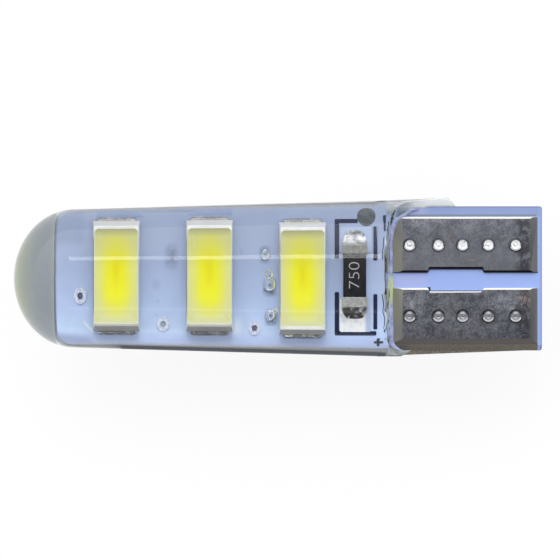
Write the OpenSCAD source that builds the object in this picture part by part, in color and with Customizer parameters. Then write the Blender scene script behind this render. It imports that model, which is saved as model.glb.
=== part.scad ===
/* [Circuit board] */
// Width of the bare board at the base
board_w = 9.25; // [8.9:0.05:9.6]
// Thickness of the board
board_t = 1; // [0.8:0.05:1.2]
// Corner radius of the board's tip
board_tip_r = 1.2; // [0.4:0.1:2.5]
// Corner radius of the board's base end
board_base_r = 0.15; // [0.05:0.05:0.5]
// Length of the slanted shoulder where the board widens
board_step_l = 0.7; // [0.3:0.1:1.2]
// Full-width board that stays inside the silicone before its open end
board_step_in = 0.3; // [0.1:0.1:1]
// Width of the scored slope along the board's snapped edge
score_w = 0.35; // [0.2:0.01:0.4]
// Depth of the score on each face of the board
score_depth = 0.3; // [0.2:0.01:0.35]
// How far the snapped web stands out at the silicone's open end
web_out = 0.32; // [0.1:0.02:0.34]
// Plain edge left between the end of the snapped web and the base end
web_margin = 1.1; // [0.3:0.1:3]
// Diameter of the tooling hole through the board
tool_hole_d = 1.2; // [0.6:0.1:1.4]
// Distance of the tooling hole ahead of the silicone's open end
tool_hole_in = 1.55; // [1.3:0.05:1.9]
// Board left between the tooling hole and the head's edge
tool_hole_rim = 0.15; // [0.1:0.05:0.4]

/* [Plated holes] */
// Drilled diameter of a plated hole
via_d = 0.45; // [0.3:0.05:0.6]
// Diameter of the copper ring round a plated hole
via_ring_d = 0.8; // [0.7:0.05:1]
// Wall of the copper barrel and thickness of its rings
via_wall = 0.05; // [0.03:0.01:0.08]

/* [Silicone body] */
// Silicone ahead of the board's tip
nose_cover = 3.1; // [1.5:0.1:4]
// Length of the rounded nose
nose_l = 3.9; // [3:0.1:5]
// Silicone past the board's edge at the open end
mouth_cover = 0.395; // [0.39:0.005:0.6]
// Silicone past the board's edge just behind the nose
head_cover = 0.54; // [0.4:0.02:0.8]
// How much smaller the body's radius is behind the nose than at the open end
taper = 0.58; // [0.3:0.02:0.8]
// Rounding of the open end's rim
rim_r = 0.25; // [0.1:0.05:0.4]
// Length of bare board that sticks out of the silicone
base_l = 9.7; // [9.4:0.05:10]
// Thickness of the side tongues that run along the board's edges
tongue_t = 1.9; // [1.4:0.1:2.4]
// How far the long tongue stands out past the board's edge
tongue_out = 0.56; // [0.4:0.02:0.7]
// How far the long tongue's root lies inside the body's rim
tongue_root = 0.05; // [0.02:0.01:0.2]
// Length of the tongue that ends in a slant
tongue_l = 4.2; // [3:0.1:6]
// How far the root of the long tongue laps onto the board's faces
tongue_lap = 0.2; // [0.05:0.05:0.4]
// Length of the short tongue on the snapped edge
flash_l = 1.3; // [0.8:0.1:3]
// Silicone over the root of the snapped web
flash_cover = 0.06; // [0.04:0.01:0.1]
// Radius of the hollow corner between the open end and the slanted tongue
tongue_fillet_r = 1.8; // [0.8:0.1:2.2]
// Radius of the hollow corner between the open end and the short tongue
flash_fillet_r = 0.7; // [0.4:0.1:1]

/* [Contact plates] */
// Board left bare outside each plate when the pair is centred
plate_edge = 0.565; // [0.45:0.005:0.8]
// Thickness of the contact sheet
plate_t = 0.2; // [0.15:0.01:0.25]
// Clear gap between the two plates of one face
plate_gap = 1; // [0.8:0.05:1.3]
// Offset of the plate pair from the board's centre line
plate_shift = -0.12; // [-0.2:0.02:0.2]
// Board left bare between the silicone's open end and the plates
plate_start = 0.05; // [0:0.05:0.3]
// Board left bare behind the plates
plate_margin = 0.3; // [0.25:0.05:0.6]
// Length of the notch in a plate's inner edge
notch_l = 3.35; // [2:0.05:4.5]
// Depth of the notch in a plate's inner edge
notch_d = 0.22; // [0.1:0.02:0.4]
// How much each end of the notch slants
notch_slant = 0.12; // [0:0.02:0.3]
// Distance of the notch from the plate's head end
notch_at = 2.45; // [1.5:0.05:3.5]
// Length of the slope at a plate's head end
head_slope_l = 0.7; // [0.3:0.05:1]
// Length of the slope at a plate's base end
tail_slope_l = 0.45; // [0.3:0.05:0.8]
// Width of the slope along the lower plate's outer edge
side_slope_w = 0.3; // [0.1:0.02:0.4]
// Sheet left at the foot of a slope
slope_foot_t = 0.06; // [0.03:0.01:0.1]

/* [Contact bumps] */
// Distance of the first bump from a plate's head end
bump_first = 1.15; // [0.9:0.05:1.5]
// Distance of the last bump from a plate's base end
bump_last = 1.4; // [1:0.05:1.6]
// How far each bump lies off even spacing
bump_drift = [0, 0.15, 0, -0.05, 0];
// Diameter of a bump at its foot
bump_foot_d = 0.9; // [0.7:0.02:1.1]
// Diameter of a bump's flat top
bump_top_d = 0.58; // [0.3:0.02:0.6]
// Height of a bump above the plate
bump_h = 0.35; // [0.2:0.01:0.4]
// Width of the slope that rounds a bump's top edge
bump_round = 0.09; // [0.04:0.01:0.12]

/* [Light-emitting diodes] */
// Distance between the centres of two diodes
led_pitch = 5.96; // [5:0.02:6.2]
// Distance of the first diode's centre from the board's tip
led_first = 3.55; // [3.3:0.05:4.2]
// How far each diode lies off the board's centre line
led_drift = [0.16, 0.16, 0];
// Length of a diode's housing, across the board
led_l = 5.7; // [5.4:0.05:5.9]
// Width of a diode's housing, along the board
led_w = 3; // [2.6:0.05:3.2]
// Height of a diode's housing
led_h = 0.85; // [0.6:0.05:1]
// Draft of the housing's walls
led_draft = 0.08; // [0:0.01:0.12]
// Housing left at each end of the yellow window
window_end = 0.28; // [0.2:0.02:0.8]
// Housing left at each side of the yellow window
window_side = 0.11; // [0.08:0.01:0.4]
// Depth of the cup under the window
cup_depth = 0.55; // [0.3:0.05:0.6]
// Slope of the cup's walls from floor to rim
cup_draft = 0.2; // [0.1:0.02:0.3]
// Corner radius of the cup's floor and rim
cup_r = 0.25; // [0.1:0.05:0.5]
// Length of the emitter chip in the cup
chip_l = 1.4; // [0.6:0.1:1.8]
// Width of the emitter chip in the cup
chip_w = 0.75; // [0.3:0.05:0.9]
// Thickness of the emitter chip
chip_t = 0.15; // [0.1:0.01:0.2]

/* [Leads and solder] */
// Thickness of a diode's leads
lead_t = 0.15; // [0.1:0.01:0.2]
// Housing past each side of a lead
lead_side = 0.3; // [0.1:0.05:0.6]
// How far a lead stands out past the housing
lead_out = 0.14; // [0.08:0.01:0.2]
// Gap between the two leads under the housing
lead_gap = 0.8; // [0.5:0.05:1.2]
// Length of the solder's foot in front of a lead
led_solder_l = 0.2; // [0.1:0.02:0.3]
// Thickness of the tinned pads
pad_t = 0.05; // [0.03:0.01:0.08]

/* [Resistor] */
// Length of the resistor, across the board
resistor_l = 3.2; // [3:0.05:3.4]
// Width of the resistor, along the board
resistor_w = 1.6; // [1.4:0.05:1.8]
// Thickness of the resistor's ceramic block
resistor_t = 0.5; // [0.4:0.02:0.6]
// Length of each metal end cap
cap_l = 0.52; // [0.3:0.02:0.7]
// Thickness of the metal on an end cap
cap_t = 0.06; // [0.04:0.01:0.1]
// Thickness of the black coating
coating_t = 0.06; // [0.04:0.01:0.1]
// Distance of the resistor's centre from the last diode's centre
resistor_gap = 3.33; // [3:0.01:4]
// Distance of the resistor's centre ahead of the silicone's open end
resistor_in = 2.3; // [2.2:0.05:3]
// Offset of the resistor from the board's centre line
resistor_off = 0.15; // [-0.2:0.05:0.2]
// Length of the solder's slope in front of an end cap
resistor_solder_l = 0.8; // [0.4:0.05:1]
// Pad left at each side of the resistor
resistor_pad_side = 0.25; // [0.05:0.05:0.3]
// How high the solder climbs an end cap
solder_climb = 0.42; // [0.2:0.02:0.5]

/* [Hidden] */
// Places run along X from the nose to the base, and X is zero half-way
head_l = led_first + 2 * led_pitch + resistor_gap + resistor_in;
board_l = head_l + base_l;
total_l = nose_cover + board_l;
nose_x = -total_l / 2;
board_x0 = nose_x + nose_cover;
board_x1 = board_x0 + board_l;
mouth_x = board_x1 - base_l;
step_x1 = mouth_x - board_step_in;
step_x0 = step_x1 - board_step_l;
// Widths across the bulb
mouth_r = board_w / 2 + mouth_cover;
shoulder_r = mouth_r - taper;
board_head_w = 2 * (shoulder_r - head_cover);
tool_hole_off = board_head_w / 2 - tool_hole_rim - tool_hole_d / 2;
web_l = base_l - web_margin;
flash_out = web_out + flash_cover;
// The tongue reaches further out than the body, so the axis lies off the box's middle
axis_y = -(board_w / 2 + tongue_out - mouth_r) / 2;
axis_z = mouth_r;
face_z = board_t / 2;
// Contact plates
plate_l = base_l - plate_start - plate_margin;
plate_w = (board_w - plate_gap) / 2 - plate_edge;
plate_x0 = mouth_x + plate_start;
plate_y = plate_gap / 2 + plate_w / 2;
bump_count = len(bump_drift);
bump_pitch = (plate_l - bump_first - bump_last) / (bump_count - 1);
bumps_at = [for (i = [0:bump_count - 1]) bump_first + i * bump_pitch + bump_drift[i]];
bump_wall = plate_t * 0.75;
// Diodes, stacked on pad, lead and housing
led_xs = [for (i = [0:2]) board_x0 + led_first + i * led_pitch];
lead_z = face_z + pad_t;
led_z = lead_z + lead_t;
led_top_z = led_z + led_h;
cup_z = led_top_z - cup_depth;
window_l = led_l - 2 * window_end;
window_w = led_w - 2 * window_side;
lead_w = led_w - 2 * lead_side;
lead_end = led_l / 2 + lead_out;
// Resistor, stacked on pad, cap and ceramic
resistor_x = mouth_x - resistor_in;
block_z = face_z + pad_t + cap_t;
cap_end = resistor_l / 2;
resistor_top_z = block_z + resistor_t + cap_t;
resistor_solder_w = resistor_w + 2 * resistor_pad_side;
// Plated holes, as distance from the board's tip and from its centre line
via_places = [[1.25, -0.84], [6.55, -2.25], [12.4, -2.46]];
// Steps in a quarter round of a turned outline
round_steps = 14;
$fn = 48;
// Extra reach of a cutter past the face that it cuts
past = 0.5;

FACES = ["front", "rear"];

// Stands the bulb's axis where it lies when the body rests on its side
module lying() {
    translate([0, axis_y, axis_z]) children();
}

// The front face is drawn as it is, and the rear one is the same turned about the long axis
module on_face(face) {
    lying() rotate([face == "front" ? 0 : 180, 0, 0]) children();
}

// Both sides of a face's own centre line
module both_ends() {
    children();
    mirror([0, 1, 0]) children();
}

// Block between two X places, two Y places and two Z places
module block(x, y, z) {
    translate([x[0], y[0], z[0]]) cube([x[1] - x[0], y[1] - y[0], z[1] - z[0]]);
}

// Rectangle with round corners, centred
module round_rect(l, w, r) {
    union() {
        square([l - 2 * r, w], center = true);
        square([l, w - 2 * r], center = true);
        for (x = [-1, 1], y = [-1, 1])
            translate([x * (l / 2 - r), y * (w / 2 - r)]) circle(r);
    }
}

// Outline of the board: narrow head, slanted shoulders, wide base
module board_outline() {
    head_h = board_head_w / 2;
    base_h = board_w / 2;
    difference() {
        union() {
            translate([board_x0 + board_tip_r, -head_h])
                square([step_x0 - board_x0 - board_tip_r, board_head_w]);
            translate([board_x0, -head_h + board_tip_r])
                square([board_tip_r, board_head_w - 2 * board_tip_r]);
            for (s = [-1, 1])
                translate([board_x0 + board_tip_r, s * (head_h - board_tip_r)]) circle(board_tip_r);
            polygon([
                [step_x0, -head_h], [step_x1, -base_h], [board_x1 - board_base_r, -base_h],
                [board_x1 - board_base_r, base_h], [step_x1, base_h], [step_x0, head_h]
            ]);
            translate([board_x1 - board_base_r, -base_h + board_base_r])
                square([board_base_r, board_w - 2 * board_base_r]);
            for (s = [-1, 1])
                translate([board_x1 - board_base_r, s * (base_h - board_base_r)]) circle(board_base_r);
        }
        translate([mouth_x - tool_hole_in, tool_hole_off]) circle(d = tool_hole_d);
    }
}

// Wedge that the score takes off the snapped edge of one face
module score_cut() {
    base_h = board_w / 2;
    translate([step_x0, 0, 0]) rotate([90, 0, 90])
        linear_extrude(board_x1 - step_x0 + past)
            polygon([
                [-base_h + score_w, face_z], [-base_h, face_z - score_depth],
                [-base_h - past, face_z - score_depth], [-base_h - past, face_z + past],
                [-base_h + score_w, face_z + past]
            ]);
}

// Web left in the middle of the snapped edge, which tapers away to the base end
module snapped_web() {
    base_h = board_w / 2;
    web_h = face_z - score_depth;
    translate([0, 0, -web_h])
        linear_extrude(2 * web_h)
            polygon([
                [step_x1, -base_h], [mouth_x, -base_h - web_out], [mouth_x + web_l, -base_h],
                [mouth_x, -base_h + past]
            ]);
}

module board_solid() {
    difference() {
        union() {
            difference() {
                translate([0, 0, -face_z]) linear_extrude(board_t) board_outline();
                score_cut();
                mirror([0, 0, 1]) score_cut();
            }
            snapped_web();
        }
        for (p = via_places)
            translate([board_x0 + p[0], p[1], -face_z - past])
                cylinder(d = via_d, h = board_t + 2 * past);
    }
}

module circuit_board() {
    color([0.62, 0.71, 0.94]) lying() board_solid();
}

// Copper barrel with a ring on each face, one for each plated hole
module plated_hole_solids() {
    ring_r = via_ring_d / 2;
    bore_r = via_d / 2 - via_wall;
    for (p = via_places)
        translate([board_x0 + p[0], p[1], 0])
            difference() {
                union() {
                    cylinder(d = via_d, h = board_t + 2 * via_wall, center = true);
                    for (s = [-1, 1])
                        translate([0, 0, s * (face_z + via_wall / 2)])
                            cylinder(r = ring_r, h = via_wall, center = true);
                }
                cylinder(r = bore_r, h = board_t + 2 * via_wall + 2 * past, center = true);
            }
}

module plated_holes() {
    color([0.75, 0.75, 0.72]) lying() plated_hole_solids();
}

// Turned outline of the silicone: elliptical nose, long taper, rounded rim
function nose_points() = [
    for (i = [0:round_steps])
        let (a = 90 * i / round_steps) [shoulder_r * sin(a), nose_x + nose_l * (1 - cos(a))]
];

function rim_points() = [
    for (i = [0:4])
        let (a = 90 * i / 4) [mouth_r - rim_r + rim_r * cos(a), mouth_x - rim_r + rim_r * sin(a)]
];

module silicone_turned() {
    rotate([0, 90, 0])
        rotate_extrude($fn = 96) polygon(concat(nose_points(), rim_points(), [[0, mouth_x]]));
}

// Hollow corner between the open end and a tongue, seen from above
module corner_plan(inner_y, r) {
    difference() {
        translate([mouth_x - rim_r, inner_y - r]) square([rim_r + r, mouth_r - inner_y + r]);
        translate([mouth_x + r, inner_y - r]) circle(r);
    }
}

// The same corner from the side: as high as the body at the open end, down to the tongue
module corner_side(r) {
    low = tongue_t / 2;
    polygon(concat(
        [[mouth_x - rim_r, -low], [mouth_x - rim_r, mouth_r]],
        [for (i = [0:5]) let (a = 90 * i / 5) [mouth_x + r * (1 - cos(a)), low + (mouth_r - low) * (1 - sin(a))]],
        [[mouth_x + r, -low]]
    ));
}

// One face's half of the corner, which lies on the board and rises into the body
module mouth_corner(inner_y, r) {
    intersection() {
        linear_extrude(mouth_r) corner_plan(inner_y, r);
        translate([0, 2 * mouth_r, 0]) rotate([90, 0, 0]) linear_extrude(4 * mouth_r) corner_side(r);
        rotate([0, 90, 0]) cylinder(r = mouth_r, h = 2 * total_l, center = true, $fn = 96);
    }
}

// Tongue along the upper edge, which laps onto the board at its root and ends in a slant
module tongue_outline() {
    edge = board_w / 2;
    polygon([
        [mouth_x - rim_r - past, edge - tongue_lap], [mouth_x + tongue_fillet_r, edge - tongue_lap],
        [mouth_x + tongue_fillet_r + 3 * tongue_lap, edge], [mouth_x + tongue_l, edge],
        [mouth_x + tongue_l - tongue_out, edge + tongue_out],
        [mouth_x - rim_r - past, mouth_r - tongue_root]
    ]);
}

// Short tongue over the root of the snapped web
module flash_outline() {
    edge = board_w / 2;
    polygon([
        [mouth_x - rim_r - past, -edge + past], [mouth_x + flash_l, -edge + past],
        [mouth_x + flash_l, -edge], [mouth_x + flash_l / 2, -edge - flash_out],
        [mouth_x - rim_r - past, -edge - flash_out]
    ]);
}

// Both tongues hug the board's edges, and their corners rise into the body on both faces
module tongues() {
    edge = board_w / 2;
    intersection() {
        translate([0, 0, -tongue_t / 2])
            linear_extrude(tongue_t) {
                difference() {
                    union() {
                        tongue_outline();
                        flash_outline();
                    }
                    translate([mouth_x, -edge]) square([base_l, edge]);
                }
            }
        rotate([0, 90, 0])
            cylinder(r = board_w / 2 + tongue_out, h = 2 * total_l, center = true, $fn = 96);
    }
    for (m = [0, 1]) mirror([0, 0, m]) {
        mouth_corner(edge - tongue_lap, tongue_fillet_r);
        mirror([0, 1, 0]) mouth_corner(edge, flash_fillet_r);
    }
}

// Everything that the silicone was poured round
module embedded_parts() {
    board_solid();
    plated_hole_solids();
    for (face = FACES)
        rotate([face == "front" ? 0 : 180, 0, 0]) {
            for (i = [0:2]) translate([led_xs[i], led_drift[i], 0]) {
                housing_block();
                led_leads();
                both_ends() led_solder_end();
            }
            translate([resistor_x, resistor_off, 0]) {
                resistor_envelope();
                both_ends() resistor_solder_end();
            }
            for (s = [-1, 1]) plate_envelope(s);
        }
}

module silicone_body() {
    color([0.82, 0.88, 0.86, 0.45])
        lying()
            difference() {
                union() {
                    silicone_turned();
                    tongues();
                }
                embedded_parts();
            }
}

// Sheet outline of the plate above the centre line, head end at zero
module plate_outline() {
    difference() {
        translate([0, -plate_w / 2]) square([plate_l, plate_w]);
        translate([notch_at, -plate_w / 2])
            polygon([
                [-notch_slant, -past], [notch_l + notch_slant, -past], [notch_l + notch_slant, 0],
                [notch_l, notch_d], [0, notch_d], [-notch_slant, 0]
            ]);
    }
}

// Section through the plate's length with both end slopes
module plate_section() {
    polygon([
        [0, 0], [plate_l, 0], [plate_l, slope_foot_t], [plate_l - tail_slope_l, plate_t],
        [head_slope_l, plate_t], [0, slope_foot_t]
    ]);
}

// Section across the plate, with a slope along its outer edge or none
module plate_cross(slope_w) {
    h = plate_w / 2;
    foot = slope_w > 0 ? slope_foot_t : plate_t;
    polygon([[-h, 0], [h, 0], [h, foot], [h - slope_w, plate_t], [-h, plate_t]]);
}

// Turned outline of a pressed bump, outside and inside
module bump_outer() {
    foot = bump_foot_d / 2;
    top = bump_top_d / 2;
    rotate_extrude()
        polygon([
            [0, 0], [foot, 0], [top + bump_round, bump_h - bump_round], [top, bump_h], [0, bump_h]
        ]);
}

module bump_hollow() {
    foot = bump_foot_d / 2 - bump_wall;
    top = bump_top_d / 2 + bump_round - bump_wall;
    rise = plate_t + bump_h - bump_wall;
    rotate_extrude() polygon([[0, -past], [foot, -past], [foot, 0], [top, rise], [0, rise]]);
}

// One pressed plate above the centre line: sloped edges, notch and hollow bumps
module plate_sheet(slope_w) {
    difference() {
        union() {
            intersection() {
                linear_extrude(plate_t) plate_outline();
                translate([0, plate_w / 2, 0]) rotate([90, 0, 0]) linear_extrude(plate_w) plate_section();
                rotate([90, 0, 90]) linear_extrude(plate_l) plate_cross(slope_w);
            }
            for (x = bumps_at) translate([x, 0, plate_t]) bump_outer();
        }
        for (x = bumps_at) translate([x, 0, 0]) bump_hollow();
    }
}

module contact_plate(face, side) {
    color([0.46, 0.46, 0.47])
        on_face(face)
            translate([plate_x0, plate_shift, face_z])
                mirror([0, side > 0 ? 0 : 1, 0])
                    translate([0, plate_y, 0]) plate_sheet(side > 0 ? 0 : side_slope_w);
}

// Room that a plate takes out of the silicone at the mouth
module plate_envelope(side) {
    translate([plate_x0, plate_shift + side * plate_y - plate_w / 2, face_z])
        cube([plate_l, plate_w, plate_t]);
}

// White moulded block of a diode, with drafted walls
module housing_block() {
    l = led_l / 2;
    w = led_w / 2;
    intersection() {
        translate([0, l, 0]) rotate([90, 0, 0])
            linear_extrude(led_l)
                polygon([
                    [-w, led_z], [w, led_z], [w - led_draft, led_top_z], [-w + led_draft, led_top_z]
                ]);
        translate([-w, 0, 0]) rotate([90, 0, 90])
            linear_extrude(led_w)
                polygon([
                    [-l, led_z], [l, led_z], [l - led_draft, led_top_z], [-l + led_draft, led_top_z]
                ]);
    }
}

// Cup of the housing, wider at its rim than at its floor
module cup() {
    l = window_l / 2;
    w = window_w / 2;
    intersection() {
        translate([0, l, 0]) rotate([90, 0, 0])
            linear_extrude(window_l)
                polygon([
                    [-w + cup_draft, cup_z], [w - cup_draft, cup_z], [w, led_top_z], [-w, led_top_z]
                ]);
        translate([-w, 0, 0]) rotate([90, 0, 90])
            linear_extrude(window_w)
                polygon([
                    [-l + cup_draft, cup_z], [l - cup_draft, cup_z], [l, led_top_z], [-l, led_top_z]
                ]);
        translate([0, 0, cup_z]) linear_extrude(cup_depth) round_rect(window_w, window_l, cup_r);
    }
}

module led_housing(face, i) {
    color([0.95, 0.94, 0.88])
        on_face(face) translate([led_xs[i], led_drift[i], 0])
            difference() {
                housing_block();
                cup();
            }
}

// Emitter chip on the floor of the cup
module chip_block() {
    block([-chip_w / 2, chip_w / 2], [-chip_l / 2, chip_l / 2], [cup_z, cup_z + chip_t]);
}

module led_phosphor(face, i) {
    color([0.93, 0.88, 0.25])
        on_face(face) translate([led_xs[i], led_drift[i], 0])
            difference() {
                cup();
                chip_block();
            }
}

module led_chips(face) {
    color([0.55, 0.62, 0.75])
        on_face(face) for (i = [0:2]) translate([led_xs[i], led_drift[i], 0]) chip_block();
}

// Two flat leads under the housing, which stand out past its ends
module led_leads() {
    both_ends()
        block([-lead_w / 2, lead_w / 2], [lead_gap / 2, lead_end], [lead_z, led_z]);
}

module led_lead_pair(face, i) {
    color([0.8, 0.79, 0.74])
        on_face(face) translate([led_xs[i], led_drift[i], 0]) led_leads();
}

// Tinned pad under a lead, with the solder's slope in front of it
module led_solder_end() {
    rotate([90, 0, 90])
        translate([0, 0, -lead_w / 2])
            linear_extrude(lead_w)
                polygon([
                    [lead_gap / 2, face_z], [lead_end + led_solder_l, face_z],
                    [lead_end + led_solder_l, lead_z], [lead_end, led_z], [lead_end, lead_z],
                    [lead_gap / 2, lead_z]
                ]);
}

module led_solder(face) {
    color([0.82, 0.82, 0.8])
        on_face(face)
            for (i = [0:2]) translate([led_xs[i], led_drift[i], 0]) both_ends() led_solder_end();
}

// Ceramic block of the resistor
module resistor_core() {
    w = resistor_w / 2 - cap_t;
    l = cap_end - cap_t;
    block([-w, w], [-l, l], [block_z, block_z + resistor_t]);
}

// One metal cap wrapped round an end of the block
module resistor_cap() {
    w = resistor_w / 2;
    block([-w, w], [cap_end - cap_l, cap_end], [block_z - cap_t, resistor_top_z]);
}

// Black coating on top of the block, between the caps
module coating_block() {
    w = resistor_w / 2 - cap_t;
    l = cap_end - cap_l;
    block([-w, w], [-l, l], [block_z + resistor_t, block_z + resistor_t + coating_t]);
}

module resistor_envelope() {
    resistor_core();
    coating_block();
    both_ends() resistor_cap();
}

module resistor_place(face) {
    on_face(face) translate([resistor_x, resistor_off, 0]) children();
}

module resistor_block(face) {
    color([0.9, 0.9, 0.88]) resistor_place(face) resistor_core();
}

module resistor_coating(face) {
    color([0.12, 0.12, 0.13]) resistor_place(face) coating_block();
}

module resistor_caps(face) {
    color([0.78, 0.78, 0.76])
        resistor_place(face)
            difference() {
                both_ends() resistor_cap();
                resistor_core();
            }
}

// Hollow slope of the solder, from the pad's end up to the end cap
function solder_slope() = [
    for (i = [0:6])
        let (a = 90 * i / 6)
            [cap_end + resistor_solder_l * (1 - sin(a)), face_z + pad_t + solder_climb * (1 - cos(a))]
];

// Tinned pad under a cap, with the solder drawn up in front of it
module resistor_solder_end() {
    foot = cap_end + resistor_solder_l;
    pad_in = cap_end - cap_l;
    pad_z = face_z + pad_t;
    union() {
        block([-resistor_solder_w / 2, resistor_solder_w / 2], [pad_in, foot], [face_z, pad_z]);
        rotate([90, 0, 90])
            translate([0, 0, -resistor_w / 2])
                linear_extrude(resistor_w) polygon(concat([[cap_end, pad_z]], solder_slope()));
    }
}

module resistor_solder(face) {
    color([0.85, 0.85, 0.84]) resistor_place(face) both_ends() resistor_solder_end();
}

silicone_body();
circuit_board();
plated_holes();
for (face = FACES) {
    contact_plate(face, 1);
    contact_plate(face, -1);
    for (i = [0:2]) {
        led_housing(face, i);
        led_phosphor(face, i);
        led_lead_pair(face, i);
    }
    led_chips(face);
    led_solder(face);
    resistor_block(face);
    resistor_coating(face);
    resistor_caps(face);
    resistor_solder(face);
}
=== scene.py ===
# %% [markdown]
# A clear silicone wedge base bulb. A thin board carries three diodes and one resistor on each face,
# and its bare end has four pressed contact plates. All but that end is cast into clear silicone.
# The solids come from the CAD frame, so the sizes are settled. Here every piece gets its finish, and
# those whose real shape is soft or worn are modelled again in the place of the plain solid.

import math

import bmesh
import bpy
from mathutils import Matrix, Vector, noise


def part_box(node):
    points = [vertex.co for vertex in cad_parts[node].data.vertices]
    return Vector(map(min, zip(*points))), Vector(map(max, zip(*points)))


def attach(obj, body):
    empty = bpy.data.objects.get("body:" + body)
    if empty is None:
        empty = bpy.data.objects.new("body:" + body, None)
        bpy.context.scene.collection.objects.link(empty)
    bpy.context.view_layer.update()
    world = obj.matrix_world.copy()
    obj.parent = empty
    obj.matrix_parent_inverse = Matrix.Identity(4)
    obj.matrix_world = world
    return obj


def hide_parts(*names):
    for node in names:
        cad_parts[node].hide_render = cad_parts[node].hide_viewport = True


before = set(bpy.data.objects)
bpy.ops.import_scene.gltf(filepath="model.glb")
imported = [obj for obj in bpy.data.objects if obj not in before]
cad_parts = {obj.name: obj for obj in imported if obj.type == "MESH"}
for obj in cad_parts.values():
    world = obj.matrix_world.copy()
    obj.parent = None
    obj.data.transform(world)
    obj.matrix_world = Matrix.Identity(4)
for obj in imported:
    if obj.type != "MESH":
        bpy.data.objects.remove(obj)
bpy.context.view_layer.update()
MM = 0.001
NO_TURN = Matrix.Identity(4)
print("solids in the frame:", len(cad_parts))

# %% [markdown]
# Every piece is drawn about the bulb's own long axis, which runs through the middle of the board.
# The diode nearest the resistor sits on that axis, so its box gives the axis, and nothing has to be
# typed in twice. The rear face is the front one turned half round about the same axis.

# %% Find the bulb's axis
board_low, board_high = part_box("circuit_board")
diode_low, diode_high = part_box("led_front_3_housing")
AXIS = Vector((0, (diode_low.y + diode_high.y) / 2, (board_low.z + board_high.z) / 2))
FACE_Z = (board_high.z - board_low.z) / 2
FACES = ("front", "rear")


def face_turn(face):
    """From a face's own place, with Z out of the board, to the bulb's place."""
    half_turn = Matrix.Rotation(math.pi, 4, "X") if face == "rear" else NO_TURN
    return Matrix.Translation(AXIS) @ half_turn


def on_face(face, low, high):
    """The middle of a box in the frame, as a place on its own face."""
    return face_turn(face).inverted() @ ((low + high) / 2)


print("axis at", [round(value / MM, 4) for value in AXIS], "mm")

# %% [markdown]
# A material is a small graph of nodes. Three helpers keep each graph short to write: one adds a node,
# one joins two sockets, and one starts a material with its plain values on the shader itself.

# %% Helpers for materials
def add(material, kind, **settings):
    """A new node in the material, with its settings."""
    made = material.node_tree.nodes.new(kind)
    for key, value in settings.items():
        setattr(made, key, value)
    return made


def join(material, output, target):
    material.node_tree.links.new(output, target)


def started(name, colour, roughness, metallic=0.0):
    """A Principled material, and its shader node."""
    material = bpy.data.materials.new(name)
    material.use_nodes = True
    shader = material.node_tree.nodes["Principled BSDF"]
    shader.inputs["Base Color"].default_value = (*colour, 1)
    shader.inputs["Roughness"].default_value = roughness
    shader.inputs["Metallic"].default_value = metallic
    return material, shader


def object_place(material):
    return add(material, "ShaderNodeTexCoord").outputs["Object"]


def grain(material, size, detail=3.0, stretch=(1, 1, 1)):
    """A noise whose lumps are about that size in metres, read in the piece's own place."""
    mapping = add(material, "ShaderNodeMapping")
    mapping.inputs["Scale"].default_value = stretch
    join(material, object_place(material), mapping.inputs["Vector"])
    made = add(material, "ShaderNodeTexNoise")
    made.inputs["Scale"].default_value = 1 / size
    made.inputs["Detail"].default_value = detail
    join(material, mapping.outputs["Vector"], made.inputs["Vector"])
    return made.outputs["Fac"]


def ramp(material, value, stops):
    """Colours along a value. Each stop is a position and a colour."""
    made = add(material, "ShaderNodeValToRGB")
    line = made.color_ramp
    while len(line.elements) < len(stops):
        line.elements.new(0.5)
    for element, (position, colour) in zip(line.elements, stops):
        element.position = position
        element.color = (*colour, 1)
    join(material, value, made.inputs["Fac"])
    return made.outputs["Color"]


def span(material, value, low, high, to_low=0.0, to_high=1.0):
    """The value spread from one range to another, and held inside it."""
    made = add(material, "ShaderNodeMapRange")
    for key, number in zip(("From Min", "From Max", "To Min", "To Max"), (low, high, to_low, to_high)):
        made.inputs[key].default_value = number
    join(material, value, made.inputs["Value"])
    return made.outputs["Result"]


def blended(material, share, first, second):
    """One colour turning into another. A colour is a socket or three numbers."""
    made = add(material, "ShaderNodeMix", data_type="RGBA")
    join(material, share, made.inputs["Factor"])
    for key, colour in (("A", first), ("B", second)):
        socket = next(s for s in made.inputs if s.name == key and s.type == "RGBA")
        if isinstance(colour, bpy.types.NodeSocket):
            join(material, colour, socket)
        else:
            socket.default_value = (*colour, 1)
    return next(s for s in made.outputs if s.type == "RGBA")


def maths(material, operation, first, second=None):
    made = add(material, "ShaderNodeMath", operation=operation)
    for index, value in enumerate((first, second)):
        if value is None:
            continue
        if isinstance(value, bpy.types.NodeSocket):
            join(material, value, made.inputs[index])
        else:
            made.inputs[index].default_value = value
    return made.outputs["Value"]


def relief(material, shader, height, depth, strength=1.0):
    """Bump from a height between 0 and 1, that many metres deep."""
    made = add(material, "ShaderNodeBump")
    made.inputs["Strength"].default_value = strength
    made.inputs["Distance"].default_value = depth
    join(material, height, made.inputs["Height"])
    join(material, made.outputs["Normal"], shader.inputs["Normal"])


def on_board(material):
    """X, Y and Z of a point on its own face in millimetres, and the face's side, 1 or -1."""
    moved = add(material, "ShaderNodeVectorMath", operation="SUBTRACT")
    join(material, object_place(material), moved.inputs[0])
    moved.inputs[1].default_value = AXIS
    scaled = add(material, "ShaderNodeVectorMath", operation="SCALE")
    join(material, moved.outputs["Vector"], scaled.inputs[0])
    scaled.inputs["Scale"].default_value = 1 / MM
    parts = add(material, "ShaderNodeSeparateXYZ")
    join(material, scaled.outputs["Vector"], parts.inputs["Vector"])
    side = maths(material, "SIGN", parts.outputs["Z"])
    across = maths(material, "MULTIPLY", parts.outputs["Y"], side)
    height = maths(material, "ABSOLUTE", parts.outputs["Z"])
    return parts.outputs["X"], across, height, side


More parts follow.
